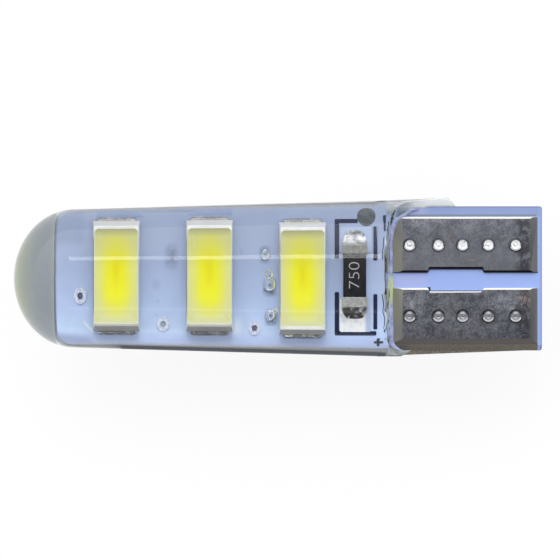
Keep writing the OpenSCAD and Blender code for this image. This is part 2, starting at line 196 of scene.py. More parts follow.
def behind(material, place, lines, soft=0.04):
    """1 on the near side of every line and 0 past any. A line is a direction x, y and how far."""
    share = None
    for along, across, far in lines:
        reach = maths(
            material,
            "ADD",
            maths(material, "MULTIPLY", place[0], along),
            maths(material, "MULTIPLY", place[1], across),
        )
        inside = span(material, reach, far - soft, far + soft, 1, 0)
        share = inside if share is None else maths(material, "MULTIPLY", share, inside)
    return share


def rectangle(x_from, x_to, y_from, y_to):
    return ((-1, 0, -x_from), (1, 0, x_to), (0, -1, -y_from), (0, 1, y_to))


def facing(material):
    """X, Y and Z of the direction in which the flat of the surface looks."""
    parts = add(material, "ShaderNodeSeparateXYZ")
    join(material, add(material, "ShaderNodeNewGeometry").outputs["True Normal"], parts.inputs["Vector"])
    return parts.outputs["X"], parts.outputs["Y"], parts.outputs["Z"]


def product(material, *values):
    total = values[0]
    for value in values[1:]:
        total = maths(material, "MULTIPLY", total, value)
    return total


print("material helpers ready")

# %% [markdown]
# The board is glass laminate under a pale blue white lacquer. Only its two faces are lacquered: the
# cut edges and the scored edge show the bare laminate. The direction that a face looks in tells the
# two apart, so one material does both. Some fields near the upper edge are darker, and painted shadow
# lines run under the contact plates' edges and along the silicone's open end. The clear body gathers
# the light on the lower half of the board, so a painted pool of light makes the lacquer paler there,
# and painted shade darkens it towards both edges.

# %% The board's lacquer and laminate
BARE_LACQUER = (0.32, 0.435, 0.81)
DARKER_FIELD_LACQUER = (0.215, 0.285, 0.49)
# Pale blue white, for the painted glint and the painted reflection
PAINTED_GLINT_LACQUER = (0.80, 0.90, 1.0)
OLIVE = (0.17, 0.215, 0.235)
LAVENDER = (0.43, 0.44, 0.74)
# Near black, for painted shade and painted shadow lines
PAINTED_SHADE_DARK = (0.012, 0.011, 0.012)
# The lacquer under the silicone: a painted pool of light makes it paler on the lower half, and painted shade darkens
# it towards both edges
HEAD_LACQUER_PAINTED_LIGHT = (
    # share of the way from the lower edge to the upper one, and the colour there
    (0.01, (0.17, 0.21, 0.30)),
    (0.041, (0.34, 0.425, 0.65)),
    (0.065, (0.41, 0.525, 0.835)),
    (0.122, (0.50, 0.63, 0.95)),
    (0.17, (0.585, 0.73, 1.0)),
    (0.3, (0.53, 0.665, 0.965)),
    (0.55, (0.42, 0.51, 0.74)),
    (0.8, (0.335, 0.408, 0.595)),
    (0.97, (0.285, 0.35, 0.525)),
)
# Lines round a field: a direction x, y and how far along it, in millimetres from the axis
# Darker fields of lacquer near the board's upper edge
DARKER_FIELDS = (
    ((-1, 0, 11.6), (0, -1, -3.2), (0.8, 0.6, -4.85)),
    ((1, 0, -2.9), (0, -1, -3.3), (-0.8, 0.6, 6.6)),
    rectangle(-8.7, -5.3, 3.6, 3.95),
)
# Painted shadow lines under the contact plates' edges and along the silicone's open end
PAINTED_SHADOW_LINES = (
    rectangle(7.34, 9.6, 0.35, 0.42),
    rectangle(9.62, 13.22, 0.565, 0.66),
    rectangle(13.24, 16.7, 0.35, 0.42),
    rectangle(9.6, 9.8, -0.84, -0.56),
    rectangle(9.8, 13.1, -0.835, -0.775),
    rectangle(7.23, 7.31, 0.8, 3.0),
)
# Darker patches on the lacquer between the first two diodes
DARK_PATCHES = (rectangle(-7.1, -6.45, 0.55, 1.55), rectangle(-7.9, -7.6, -0.4, -0.2))
BUBBLE_SHADES = (
    rectangle(-1.02, -0.55, 0.85, 1.45),
    rectangle(-0.8, -0.15, -0.75, -0.1),
    rectangle(-0.7, -0.05, -2.2, -1.6),
)
# A painted glint beside the first diode and a painted reflection beside the second
GLINT = ((0.67, 0.74, -9.82), (-0.67, -0.74, 9.92), (-1, 0, 12.4), (1, 0, -11.8))
PAINTED_REFLECTION_PATCH = rectangle(-2.85, -2.4, -2.75, -2.0)
# The board's corner under the silicone's hollow corner, and the thin film beside it
OLIVE_FIELDS = (((0.707, -0.707, 2.743), (-1, 0, -6.95), (1, 0, 8.5), (0, 1, 4.64)),)
FILM_FIELDS = (rectangle(7.3, 9.5, 4.05, 4.6), rectangle(7.3, 9.55, -0.6, 0.3))
EDGE_SHADE = (rectangle(-20, 7.0, -4.7, -3.72),)
TOP_STRIP = (rectangle(8.6, 16.8, 3.96, 4.7),)
# A painted shadow line along the top edge of the upper plates
TOP_SHADOW_LINE = rectangle(8.3, 16.6, 3.97, 4.1)
# The lacquer is darker at both corners near the nose
DARKER_CORNERS = (rectangle(-14, -12.4, 1.7, 4.7), ((0.227, 0.974, -5.85), (1, 0, -11.9)))
# A painted yellow green glow on the lacquer at the silicone's open end
MOUTH_GLOW = rectangle(6.9, 7.38, -1.35, 0.25)
SCAR = rectangle(15.4, 16.4, -1.75, -0.95)
# Painted shade on the board's lower corner by the nose
LOW_CORNER_SHADE = rectangle(-14, -12.0, -4.7, -3.1)
HEAD_EDGE = 3.9
HEAD_END = 7.1
SCORE_EDGE = -4.16
PLATES_END = 16.66


def any_of(material, place, fields, soft=0.04):
    share = None
    for lines in fields:
        one = behind(material, place, lines, soft)
        share = one if share is None else maths(material, "MAXIMUM", share, one)
    return share


def board_finish():
    material, shader = started("board lacquer", BARE_LACQUER, 0.38)
    place = on_board(material)
    head = span(material, place[0], HEAD_END - 0.2, HEAD_END + 0.2, 1, 0)
    across = span(material, place[1], -HEAD_EDGE, HEAD_EDGE)
    coat = blended(material, head, BARE_LACQUER, ramp(material, across, HEAD_LACQUER_PAINTED_LIGHT))
    darker_field = any_of(material, place, DARKER_FIELDS)
    coat = blended(material, darker_field, coat, DARKER_FIELD_LACQUER)
    cloud = span(material, grain(material, 1.6 * MM, 4), 0.35, 0.7, 0.0, 0.3)
    coat = blended(material, product(material, cloud, head), coat, (0.36, 0.43, 0.62))
    spots = span(material, grain(material, 0.5 * MM, 3), 0.68, 0.76, 0.0, 0.35)
    coat = blended(material, spots, coat, (0.20, 0.24, 0.38))
    dark_patch = product(material, any_of(material, place, DARK_PATCHES, 0.2), grain(material, 0.25 * MM, 2))
    coat = blended(material, dark_patch, coat, (0.12, 0.15, 0.25))
    shade = product(material, any_of(material, place, BUBBLE_SHADES, 0.18), grain(material, 0.2 * MM, 2))
    coat = blended(material, maths(material, "MULTIPLY", shade, 2.6), coat, (0.12, 0.15, 0.23))
    dull = product(material, any_of(material, place, DARKER_CORNERS, 0.2), 0.55)
    coat = blended(material, dull, coat, (0.25, 0.31, 0.47))
    coat = blended(material, behind(material, place, LOW_CORNER_SHADE, 0.35), coat, (0.25, 0.33, 0.56))
    coat = blended(material, product(material, behind(material, place, GLINT, 0.05), 0.85), coat, PAINTED_GLINT_LACQUER)
    pale = product(material, behind(material, place, PAINTED_REFLECTION_PATCH, 0.25), 0.85)
    coat = blended(material, pale, coat, PAINTED_GLINT_LACQUER)
    coat = blended(material, product(material, any_of(material, place, TOP_STRIP, 0.1), 0.6), coat, (0.22, 0.27, 0.43))
    coat = blended(material, product(material, any_of(material, place, FILM_FIELDS, 0.25), 0.55), coat, LAVENDER)
    coat = blended(material, behind(material, place, TOP_SHADOW_LINE, 0.04), coat, (0.19, 0.22, 0.28))
    coat = blended(material, any_of(material, place, OLIVE_FIELDS, 0.1), coat, OLIVE)
    coat = blended(material, any_of(material, place, EDGE_SHADE, 0.03), coat, (0.08, 0.095, 0.115))
    glow = product(material, behind(material, place, MOUTH_GLOW, 0.1), 0.85)
    coat = blended(material, glow, coat, (0.66, 0.76, 0.34))
    coat = blended(material, any_of(material, place, PAINTED_SHADOW_LINES, 0.03), coat, PAINTED_SHADE_DARK)
    rim = maths(material, "MAXIMUM", span(material, place[0], 16.8, 16.9), span(material, place[1], 4.5, 4.6))
    coat = blended(material, maths(material, "MULTIPLY", rim, 0.5), coat, (0.14, 0.17, 0.27))
    weave = ramp(
        material,
        grain(material, 0.12 * MM, 2, (1, 1, 3)),
        [(0.3, (0.10, 0.09, 0.075)), (0.7, (0.21, 0.185, 0.15))],
    )
    # The laminate's cut edges under the silicone, with painted shade darkening them towards the lower edge
    wetted_and_shaded = ramp(
        material,
        across,
        [(0.0, (0.05, 0.06, 0.075)), (0.2, (0.13, 0.145, 0.17)), (0.8, (0.2, 0.225, 0.28)), (1.0, (0.2, 0.225, 0.28))],
    )
    tip = span(material, place[0], -13.3, -13.7)
    wetted_and_shaded = blended(material, tip, wetted_and_shaded, (0.27, 0.32, 0.42))
    weave = blended(material, head, weave, wetted_and_shaded)
    x_look, y_look, z_look = facing(material)
    flat = span(material, maths(material, "ABSOLUTE", z_look), 0.9, 0.97)
    flat = product(material, flat, span(material, place[2], 0.4, 0.45))
    kept = maths(material, "MAXIMUM", span(material, place[1], SCORE_EDGE - 0.03, SCORE_EDGE), head)
    flat = product(material, flat, kept)
    corner = span(material, place[0], PLATES_END, PLATES_END + 0.03)
    corner = product(material, corner, span(material, maths(material, "ABSOLUTE", z_look), 0.3, 0.4))
    flat = maths(material, "MAXIMUM", flat, corner)
    join(material, blended(material, flat, weave, coat), shader.inputs["Base Color"])
    join(material, span(material, flat, 0, 1, 0.75, 0.36), shader.inputs["Roughness"])
    raised = maths(material, "ADD", darker_field, maths(material, "MULTIPLY", grain(material, 0.3 * MM), 0.3))
    relief(material, shader, raised, 0.02 * MM)
    return material


BOARD = board_finish()
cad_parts["circuit_board"].data.materials.clear()
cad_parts["circuit_board"].data.materials.append(BOARD)
print("board finish:", len(BOARD.node_tree.nodes), "nodes")

# %% [markdown]
# Tin, solder and the tinned contact sheet are metals. They differ in how dull they are: the sheet is
# grey and mottled from handling, while solder froze smooth and bright.

# %% Metals
def metal(name, dark, light, lump, dull, bright_dull, bump_depth, shade_from=-2.35, shade=(0.26, 0.255, 0.25)):
    """A metal mottled between two greys, with painted shade darkening it towards the board's lower edge."""
    material, shader = started(name, light, dull, 1.0)
    mottle = grain(material, lump, 5)
    grey = ramp(material, mottle, [(0.32, dark), (0.68, light)])
    low_down = span(material, on_board(material)[1], shade_from, shade_from - 0.1)
    low_down = product(material, low_down, span(material, grain(material, lump, 3), 0.62, 0.5))
    join(material, blended(material, low_down, grey, shade), shader.inputs["Base Color"])
    join(material, span(material, mottle, 0.3, 0.7, dull, bright_dull), shader.inputs["Roughness"])
    relief(material, shader, grain(material, lump / 6, 3), bump_depth)
    return material


TIN_RING, ring_shader = started("lacquered ring", (0.66, 0.72, 0.86), 0.3)
join(
    TIN_RING,
    ramp(TIN_RING, grain(TIN_RING, 0.15 * MM), [(0.35, (0.46, 0.51, 0.62)), (0.6, (0.72, 0.78, 0.92))]),
    ring_shader.inputs["Base Color"],
)
SOLDER = metal("solder", (0.24, 0.235, 0.225), (0.60, 0.61, 0.66), 0.3 * MM, 0.34, 0.18, 0.006 * MM)
# The resistor's lower fillet is darkened by painted shade
FILLET = metal(
    "resistor solder", (0.24, 0.24, 0.245), (0.66, 0.66, 0.68), 0.4 * MM, 0.34, 0.2, 0.008 * MM, -1.25,
    (0.065, 0.06, 0.054),
)
LEAD = metal("diode lead", (0.55, 0.54, 0.50), (0.80, 0.79, 0.75), 0.5 * MM, 0.35, 0.22, 0.004 * MM)
CAP = metal("resistor cap", (0.32, 0.32, 0.31), (0.55, 0.55, 0.53), 0.2 * MM, 0.5, 0.35, 0.012 * MM)
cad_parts["plated_holes"].data.materials.clear()
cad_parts["plated_holes"].data.materials.append(TIN_RING)
print("metals ready")

# %% [markdown]
# The contact plates are tinned sheet. Their tops are grey and mottled, and the slopes at the ends are
# brownish. Painted highlights brighten the edges that face the board's upper edge, the tops of the
# upper row of bumps and crescents low on the bumps, and painted shade darkens the rolled edges that
# face the other way and the walls of the bumps. Height above the board and the tilt of the surface
# find those places.

# %% The contact sheet
BUMP_ROW_Y = 2.3
SLOPE_EDGE = -3.86


def sheet_finish():
    material, shader = started("tinned sheet", (0.3, 0.3, 0.31), 0.42, 1.0)
    x_place, across, height, side = on_board(material)
    place = (x_place, across)
    mottle = grain(material, 0.6 * MM, 8)
    fine = grain(material, 0.09 * MM, 5, (1, 0.7, 1))
    mixed = maths(
        material,
        "ADD",
        maths(material, "MULTIPLY", mottle, 0.5),
        maths(material, "MULTIPLY", fine, 0.5),
    )
    grey = ramp(
        material,
        mixed,
        [(0.39, (0.105, 0.11, 0.13)), (0.5, (0.205, 0.213, 0.24)), (0.61, (0.33, 0.34, 0.372))],
    )
    # The upper plates are lighter towards their inner edge
    lighter_upper = product(material, span(material, across, 3.2, 1.2, 0.15, 0.5), span(material, across, 0, 0.2))
    grey = blended(material, lighter_upper, grey, (0.36, 0.375, 0.42))
    stain = span(material, grain(material, 1.3 * MM, 4), 0.58, 0.7, 0.0, 0.3)
    grey = blended(material, stain, grey, (0.19, 0.17, 0.14))
    streaks = span(material, grain(material, 0.35 * MM, 4, (2.4, 0.3, 1)), 0.6, 0.72, 0.0, 0.3)
    grey = blended(material, streaks, grey, (0.13, 0.135, 0.15))
    worn_end = product(
        material,
        behind(material, place, rectangle(15.3, 16.3, -4.0, 3.95), 0.3),
        span(material, grain(material, 0.35 * MM, 4), 0.38, 0.52),
    )
    grey = blended(material, maths(material, "MULTIPLY", worn_end, 0.8), grey, (0.07, 0.075, 0.085))
    scar = product(material, behind(material, place, SCAR, 0.2), span(material, fine, 0.45, 0.55), 0.8)
    grey = blended(material, scar, grey, (0.36, 0.29, 0.27))
    scratches = span(material, grain(material, 0.25 * MM, 3, (0.25, 2.2, 1)), 0.66, 0.7, 0.0, 0.5)
    grey = blended(material, scratches, grey, (0.5, 0.5, 0.52))
    x_look, y_look, z_look = facing(material)
    upright = maths(material, "ABSOLUTE", z_look)
    outward = product(material, y_look, side)
    low_down = span(material, height, 0.74, 0.80, 1, 0)
    # The end slopes are brownish, lighter at the end nearer the silicone
    brown_slope = product(material, span(material, maths(material, "ABSOLUTE", x_look), 0.12, 0.2), low_down)
    slope_tone = ramp(
        material, span(material, x_place, 8, 15), [(0.0, (0.37, 0.36, 0.33)), (1.0, (0.18, 0.185, 0.18))]
    )
    sheet_colour = blended(material, brown_slope, grey, slope_tone)
    side_slope = product(
        material,
        span(material, across, SLOPE_EDGE, SLOPE_EDGE - 0.04),
        span(material, upright, 0.97, 0.94),
    )
    sheet_colour = blended(material, side_slope, sheet_colour, (0.20, 0.187, 0.175))
    inner_edge = span(material, across, -3.6, -3.5)
    shaded = product(material, span(material, outward, -0.12, -0.22), low_down, inner_edge)
    sheet_colour = blended(material, shaded, sheet_colour, PAINTED_SHADE_DARK)
    off_row = maths(material, "ABSOLUTE", maths(material, "SUBTRACT", maths(material, "ABSOLUTE", across), BUMP_ROW_Y))
    # A painted highlight on the rolled edges that face the board's upper edge
    painted_edge_highlight = product(
        material,
        span(material, outward, 0.12, 0.22),
        low_down,
        inner_edge,
        span(material, off_row, 0.6, 0.7),
    )
    sheet_colour = blended(material, painted_edge_highlight, sheet_colour, (0.96, 0.95, 0.87))
    raised = product(material, span(material, height, 0.72, 0.78), span(material, off_row, 0.56, 0.5))
    # Painted shade on the bumps' walls, darkest on the wall that faces the board's upper edge
    back_wall = product(material, raised, span(material, outward, 0.12, 0.4))
    wall_share = span(material, across, -0.5, 0.5, 0.9, 0.55)
    sheet_colour = blended(material, product(material, back_wall, wall_share), sheet_colour, (0.03, 0.03, 0.035))
    near_wall = product(material, raised, span(material, outward, -0.12, -0.4), span(material, height, 0.95, 0.9))
    sheet_colour = blended(material, product(material, near_wall, wall_share), sheet_colour, (0.05, 0.05, 0.055))
    flat_top = product(material, span(material, height, 0.98, 1.02), span(material, upright, 0.8, 0.95))
    smooth = product(material, flat_top, span(material, across, 0.5, -0.5, 0.0, 0.75))
    sheet_colour = blended(material, smooth, sheet_colour, (0.30, 0.30, 0.325))
    # Painted highlights: the tops of the upper row of bumps are painted bright white, and so are crescents low on
    # every bump
    patchy_highlight = span(material, grain(material, 0.16 * MM, 3), 0.36, 0.46, 0.45, 1.0)
    painted_bump_highlight = product(material, flat_top, span(material, across, -0.5, 0.5), patchy_highlight)
    crescent = product(material, raised, span(material, height, 0.93, 0.96), span(material, outward, -0.15, -0.35))
    painted_bump_highlight = maths(material, "MAXIMUM", painted_bump_highlight, crescent)
    join(material, blended(material, painted_bump_highlight, sheet_colour, (0.95, 0.95, 0.96)), shader.inputs["Base Color"])
    # The painted highlights are made less metallic, so that their white shows
    bare = maths(material, "MAXIMUM", painted_bump_highlight, painted_edge_highlight)
    join(material, span(material, bare, 0, 1, 1.0, 0.3), shader.inputs["Metallic"])
    join(material, span(material, mixed, 0.3, 0.7, 0.5, 0.34), shader.inputs["Roughness"])
    relief(material, shader, mixed, 0.02 * MM)
    return material


SHEET = sheet_finish()
print("sheet finish:", len(SHEET.node_tree.nodes), "nodes")

# %% [markdown]
# A real part has no razor edges. The CAD solid's mesh is loose triangles, so a copy is merged first,
# its flat faces are dissolved back into one, and the edges that are left get a small bevel.

# %% Soft edged copies of solids
def smooth_by_angle(mesh, degrees):
    mesh.polygons.foreach_set("use_smooth", [True] * len(mesh.polygons))
    mesh.set_sharp_from_angle(angle=math.radians(degrees))


def turned_out(bm):
    """Every wall looks out of the solid."""
    bmesh.ops.recalc_face_normals(bm, faces=bm.faces)
    if bm.calc_volume(signed=True) < 0:
        bmesh.ops.reverse_faces(bm, faces=bm.faces)


def as_piece(name, bm, material, stands_for=(), smooth_deg=35):
    """Turns a finished bmesh into a piece of the bulb that rides on its body."""
    mesh = bpy.data.meshes.new(name)
    bm.to_mesh(mesh)
    bm.free()
    mesh.materials.append(material)
    smooth_by_angle(mesh, smooth_deg)
    piece = bpy.data.objects.new(name, mesh)
    bpy.context.collection.objects.link(piece)
    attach(piece, "root")
    if stands_for:
        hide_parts(*stands_for)
    return piece


def softened(node, width, material, segments=2, angle=25):
    """A copy of a CAD node with bevelled edges, which stands for the node."""
    bm = bmesh.new()
    bm.from_mesh(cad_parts[node].data)
    bmesh.ops.remove_doubles(bm, verts=bm.verts, dist=0.002 * MM)
    bmesh.ops.dissolve_limit(bm, angle_limit=math.radians(1.5), verts=bm.verts, edges=bm.edges)
    limit = math.radians(angle)
    sharp = [e for e in bm.edges if len(e.link_faces) == 2 and e.calc_face_angle(0) > limit]
    bmesh.ops.bevel(
        bm,
        geom=sharp,
        offset=width,
        offset_type="OFFSET",
        affect="EDGES",
        segments=segments,
        profile=0.5,
        material=-1,
        clamp_overlap=True,
    )
    bmesh.ops.triangulate(bm, faces=[f for f in bm.faces if len(f.verts) > 4])
    return as_piece(node + "_soft", bm, material, [node], 20)


# %% [markdown]
# The press that cut the contact plates left a rolled edge along their length, and a wider one in the
# notch. Those long top edges get a bevel of their own before the rest of the plate is softened.

# %% Contact plates
INNER_EDGE_Y = (0.37 * MM, 0.61 * MM)
NOTCH_Y = -0.84 * MM
INNER_ROLL, PLAIN_ROLL, NOTCH_ROLL = 0.16, 0.11, 0.07
SHEET_TOP = FACE_Z + 0.2 * MM
BUMP_TOP = FACE_Z + 0.55 * MM


def pressed_plate(face, side):
    node = f"contact_{face}_{side}"
    bm = bmesh.new()
    bm.from_mesh(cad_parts[node].data)
    bmesh.ops.remove_doubles(bm, verts=bm.verts, dist=0.002 * MM)
    bmesh.ops.transform(bm, matrix=face_turn(face).inverted(), verts=bm.verts)
    bmesh.ops.dissolve_limit(bm, angle_limit=math.radians(1.5), verts=bm.verts, edges=bm.edges)
    rolled = {INNER_ROLL: [], PLAIN_ROLL: [], NOTCH_ROLL: []}
    for e in bm.edges:
        first, second = (v.co for v in e.verts)
        on_top = max(abs(first.z - SHEET_TOP), abs(second.z - SHEET_TOP)) < 0.003 * MM
        run = abs(first.x - second.x)
        lengthwise = abs(first.y - second.y) < 0.002 * MM and run > 0.3 * MM
        inner = run > 0.05 * MM and INNER_EDGE_Y[0] < (first.y + second.y) / 2 < INNER_EDGE_Y[1]
        if on_top and (lengthwise or inner) and e.calc_face_angle(0) > 1.2:
            notched = abs(first.y - NOTCH_Y) < 0.01 * MM
            width = INNER_ROLL if inner else NOTCH_ROLL if notched else PLAIN_ROLL
            rolled[width].append(e)
    print(node, "rolled edges", [len(found) for found in rolled.values()])
    for width, found in rolled.items():
        bmesh.ops.bevel(
            bm, geom=found, offset=width * MM, affect="EDGES", segments=3, profile=0.5, material=-1,
            clamp_overlap=True,
        )
    sharp = [e for e in bm.edges if len(e.link_faces) == 2 and e.calc_face_angle(0) > math.radians(50)]
    bmesh.ops.bevel(
        bm, geom=sharp, offset=0.03 * MM, affect="EDGES", segments=2, profile=0.5, material=-1,
        clamp_overlap=True,
    )
    tops = [f for f in bm.faces if f.calc_center_median().z > BUMP_TOP - 0.01 * MM and f.normal.z > 0.99]
    bmesh.ops.inset_individual(bm, faces=tops, thickness=0.05 * MM, depth=-0.012 * MM)
    bmesh.ops.inset_individual(bm, faces=tops, thickness=0.09 * MM, depth=-0.03 * MM)
    bmesh.ops.inset_individual(bm, faces=tops, thickness=0.05 * MM, depth=0.02 * MM)
    print(node, "dished bumps", len(tops))
    bmesh.ops.triangulate(bm, faces=[f for f in bm.faces if len(f.verts) > 4])
    bmesh.ops.transform(bm, matrix=face_turn(face), verts=bm.verts)
    return as_piece(node + "_pressed", bm, SHEET, [node], 12)


for face in FACES:
    for side in ("upper", "lower"):
        pressed_plate(face, side)

# %% [markdown]
# Each diode is a white moulded cup filled with yellow gel. Light scatters in the moulding, so it looks
# creamy, and painted shade greys its rims and walls, most on the side towards the board's lower edge.
# The gel is richest over the emitter in the middle and paler where it thins out at the rim. A painted
# glow brightens its lower half, and painted shade darkens its upper part and its lower end.

# %% Diode housings and leads
def moulding_finish():
    material, shader = started("diode moulding", (0.82, 0.81, 0.76), 0.35)
    shader.inputs["Subsurface Weight"].default_value = 0.15
    shader.inputs["Subsurface Scale"].default_value = 0.2 * MM
    shader.inputs["Subsurface Radius"].default_value = (1.0, 0.9, 0.7)
    tone = ramp(
        material, grain(material, 0.5 * MM, 4), [(0.3, (0.82, 0.82, 0.78)), (0.7, (0.92, 0.92, 0.90))]
    )
    along, across, _, side = on_board(material)
    # Painted shade on the cup's lower rim
    third = span(material, along, -1, 0, 1.0, 0.25)
    low_rim_shade = product(material, span(material, across, -2.5, -2.36, 1, 0), third)
    tone = blended(material, low_rim_shade, tone, (0.40, 0.39, 0.34))
    x_look, y_look, z_look = facing(material)
    side_rim = span(material, maths(material, "ABSOLUTE", across), 2.6, 2.35)
    side_rim = product(material, side_rim, span(material, maths(material, "ABSOLUTE", z_look), 0.7, 0.9))
    tone = blended(material, maths(material, "MULTIPLY", side_rim, 0.85), tone, (0.72, 0.73, 0.56))
    # Painted shade on the walls: lighter on the wall facing the board's upper edge, darker on the one facing the lower
    # edge, grey on the long walls
    wall = span(material, maths(material, "ABSOLUTE", z_look), 0.75, 0.5)
    outward = product(material, y_look, side)
    tone = blended(material, product(material, wall, span(material, outward, 0.5, 0.8)), tone, (0.5, 0.5, 0.49))
    tone = blended(material, product(material, wall, span(material, outward, -0.5, -0.8)), tone, (0.38, 0.37, 0.345))
    long_wall = product(material, wall, span(material, maths(material, "ABSOLUTE", x_look), 0.3, 0.6))
    tone = blended(material, long_wall, tone, (0.58, 0.60, 0.58))
    join(material, tone, shader.inputs["Base Color"])
    relief(material, shader, grain(material, 0.05 * MM, 2), 0.003 * MM)
    return material


MOULDING = moulding_finish()
DIODES = (1, 2, 3)
for face in FACES:
    for number in DIODES:
        softened(f"led_{face}_{number}_housing", 0.04 * MM, MOULDING)
        softened(f"led_{face}_{number}_leads", 0.03 * MM, LEAD)
print("housings and leads softened")

# %% The yellow gel
WINDOW_W = 2.8 * MM
WINDOW_L = 5.16 * MM
GEL_CORNER = 0.25 * MM
GEL_DEPTH = 0.5 * MM
GEL_DRAFT = 0.17 * MM


def gel_finish():
    material, shader = started("phosphor gel", (0.83, 0.78, 0.03), 0.3)
    shader.inputs["Specular IOR Level"].default_value = 0.15
    spread = add(material, "ShaderNodeUVMap", uv_map="window")
    parts = add(material, "ShaderNodeSeparateXYZ")
    join(material, spread.outputs["UV"], parts.inputs["Vector"])
    wide = maths(material, "POWER", maths(material, "ABSOLUTE", parts.outputs["X"]), 2.2)
    shifted = maths(material, "SUBTRACT", parts.outputs["Y"], 0.05)
    long = maths(material, "POWER", maths(material, "ABSOLUTE", shifted), 3.4)
    away = maths(material, "POWER", maths(material, "ADD", wide, long), 0.45)
    wander = maths(material, "MULTIPLY", grain(material, 0.8 * MM, 2), 0.12)
    away = maths(material, "SUBTRACT", maths(material, "ADD", away, wander), 0.06)
    yellow = ramp(
        material,
        away,
        [
            (0.0, (0.80, 0.71, 0.006)),
            (0.25, (0.85, 0.81, 0.008)),
            (0.5, (0.82, 0.80, 0.07)),
            (0.72, (0.77, 0.765, 0.185)),
            (1.0, (0.70, 0.705, 0.33)),
        ],
    )
    # A painted glow on the lower half of the gel
    low_glow = product(
        material,
        span(material, parts.outputs["Y"], 0.1, -0.35),
        span(material, parts.outputs["Y"], -0.7, -0.42),
        span(material, maths(material, "ABSOLUTE", parts.outputs["X"]), 0.7, 0.25),
    )
    yellow = blended(material, maths(material, "MULTIPLY", low_glow, 0.6), yellow, (0.93, 0.92, 0.04))
    # Painted shade on the upper part of the gel, deepest under the cup's rim
    upper = span(material, parts.outputs["Y"], 0.12, 0.62)
    yellow = blended(material, maths(material, "MULTIPLY", upper, 0.42), yellow, (0.40, 0.39, 0.08))
    shaded = span(material, parts.outputs["Y"], 0.8, 0.97)
    yellow = blended(material, maths(material, "MULTIPLY", shaded, 0.8), yellow, (0.36, 0.36, 0.16))
    # Painted shade at the gel's lower end
    foot = span(material, parts.outputs["Y"], -0.86, -1.0)
    yellow = blended(material, maths(material, "MULTIPLY", foot, 0.6), yellow, (0.56, 0.58, 0.38))
    join(material, yellow, shader.inputs["Base Color"])
    relief(material, shader, grain(material, 0.08 * MM, 2), 0.004 * MM)
    return material


GEL = gel_finish()


def gel(face, number):
    """Gel in a diode's cup, dished towards its middle."""
    low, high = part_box(f"led_{face}_{number}_housing")
    centre = on_face(face, low, high)
    top = max(high.z - AXIS.z, AXIS.z - low.z)
    bm = bmesh.new()
    bmesh.ops.create_cube(bm, size=1)
    bmesh.ops.scale(bm, vec=(WINDOW_W, WINDOW_L, GEL_DEPTH), verts=bm.verts)
    bmesh.ops.translate(bm, vec=(0, 0, -GEL_DEPTH / 2), verts=bm.verts)
    foot = [v for v in bm.verts if v.co.z < -GEL_DEPTH / 2]
    bmesh.ops.scale(
        bm, vec=(1 - 2 * GEL_DRAFT / WINDOW_W, 1 - 2 * GEL_DRAFT / WINDOW_L, 1), verts=foot
    )
    upright = [e for e in bm.edges if abs(e.verts[0].co.z - e.verts[1].co.z) > GEL_DEPTH / 2]
    bmesh.ops.bevel(
        bm, geom=upright, offset=GEL_CORNER, affect="EDGES", segments=5, profile=0.5, material=-1
    )
    window = max(bm.faces, key=lambda f: f.calc_center_median().z)
    for inward, drop in ((0.1, 0.02), (0.15, 0.014), (0.3, 0.012), (0.35, 0.006)):
        bmesh.ops.inset_region(bm, faces=[window], thickness=inward * MM, depth=-drop * MM)
    layer = bm.loops.layers.uv.new("window")
    for flat in bm.faces:
        for loop in flat.loops:
            spot = loop.vert.co
            loop[layer].uv = (spot.x / (WINDOW_W / 2), spot.y / (WINDOW_L / 2))
    bmesh.ops.translate(bm, vec=(centre.x, centre.y, top - 0.008 * MM), verts=bm.verts)
    bmesh.ops.transform(bm, matrix=face_turn(face), verts=bm.verts)
    node = f"led_{face}_{number}_phosphor"
    return as_piece(f"gel_{face}_{number}", bm, GEL, [node], 50)


for face in FACES:
    for number in DIODES:
        gel(face, number)
CHIP, chip_shader = started("emitter chip", (0.5, 0.56, 0.68), 0.3)
join(
    CHIP,
    ramp(CHIP, grain(CHIP, 0.2 * MM), [(0.3, (0.42, 0.48, 0.6)), (0.7, (0.58, 0.63, 0.74))]),
    chip_shader.inputs["Base Color"],
)
for face in FACES:
    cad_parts[f"led_{face}_chips"].data.materials.clear()
    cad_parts[f"led_{face}_chips"].data.materials.append(CHIP)
print("gel poured in", 2 * len(DIODES), "cups")

# %% [markdown]
# Solder is drawn up against what it joins and freezes in a hollow slope with a lumpy surface. A mound
# is made from a grid: its points are lifted by a height rule, and the sheet is extruded down to the pad.

# %% Solder mounds
PAD_Z = FACE_Z + 0.05 * MM


def mound(bm, x_mid, half_wide, y_in, y_out, height, lump=0.0, seed=0.0, round_end=0.0):
    """Solder from y_in, where it is highest, out to y_out. height(u, t) is in metres."""
    made = bmesh.ops.create_grid(bm, x_segments=18, y_segments=12, size=0.5)
    for v in made["verts"]:
        u, t = v.co.x * 2, v.co.y + 0.5
        narrow = 1 - round_end * t * t
        v.co.x = x_mid + u * half_wide * narrow
        v.co.y = y_in + t * (y_out - y_in) * (1 - 0.12 * u * u)
        wobble = noise.noise(Vector((v.co.x, v.co.y, seed * MM)) / (0.35 * MM)) * lump
        edge = min(1.0, 6 * (1 - abs(u))) * min(1.0, 6 * (1 - t))
        v.co.z = PAD_Z + height(u, t) + wobble * edge
    sheet = list({f for v in made["verts"] for f in v.link_faces})
    foot = bmesh.ops.extrude_face_region(bm, geom=sheet)["geom"]
    for v in foot:
        if isinstance(v, bmesh.types.BMVert):
            v.co.z = FACE_Z
    return made


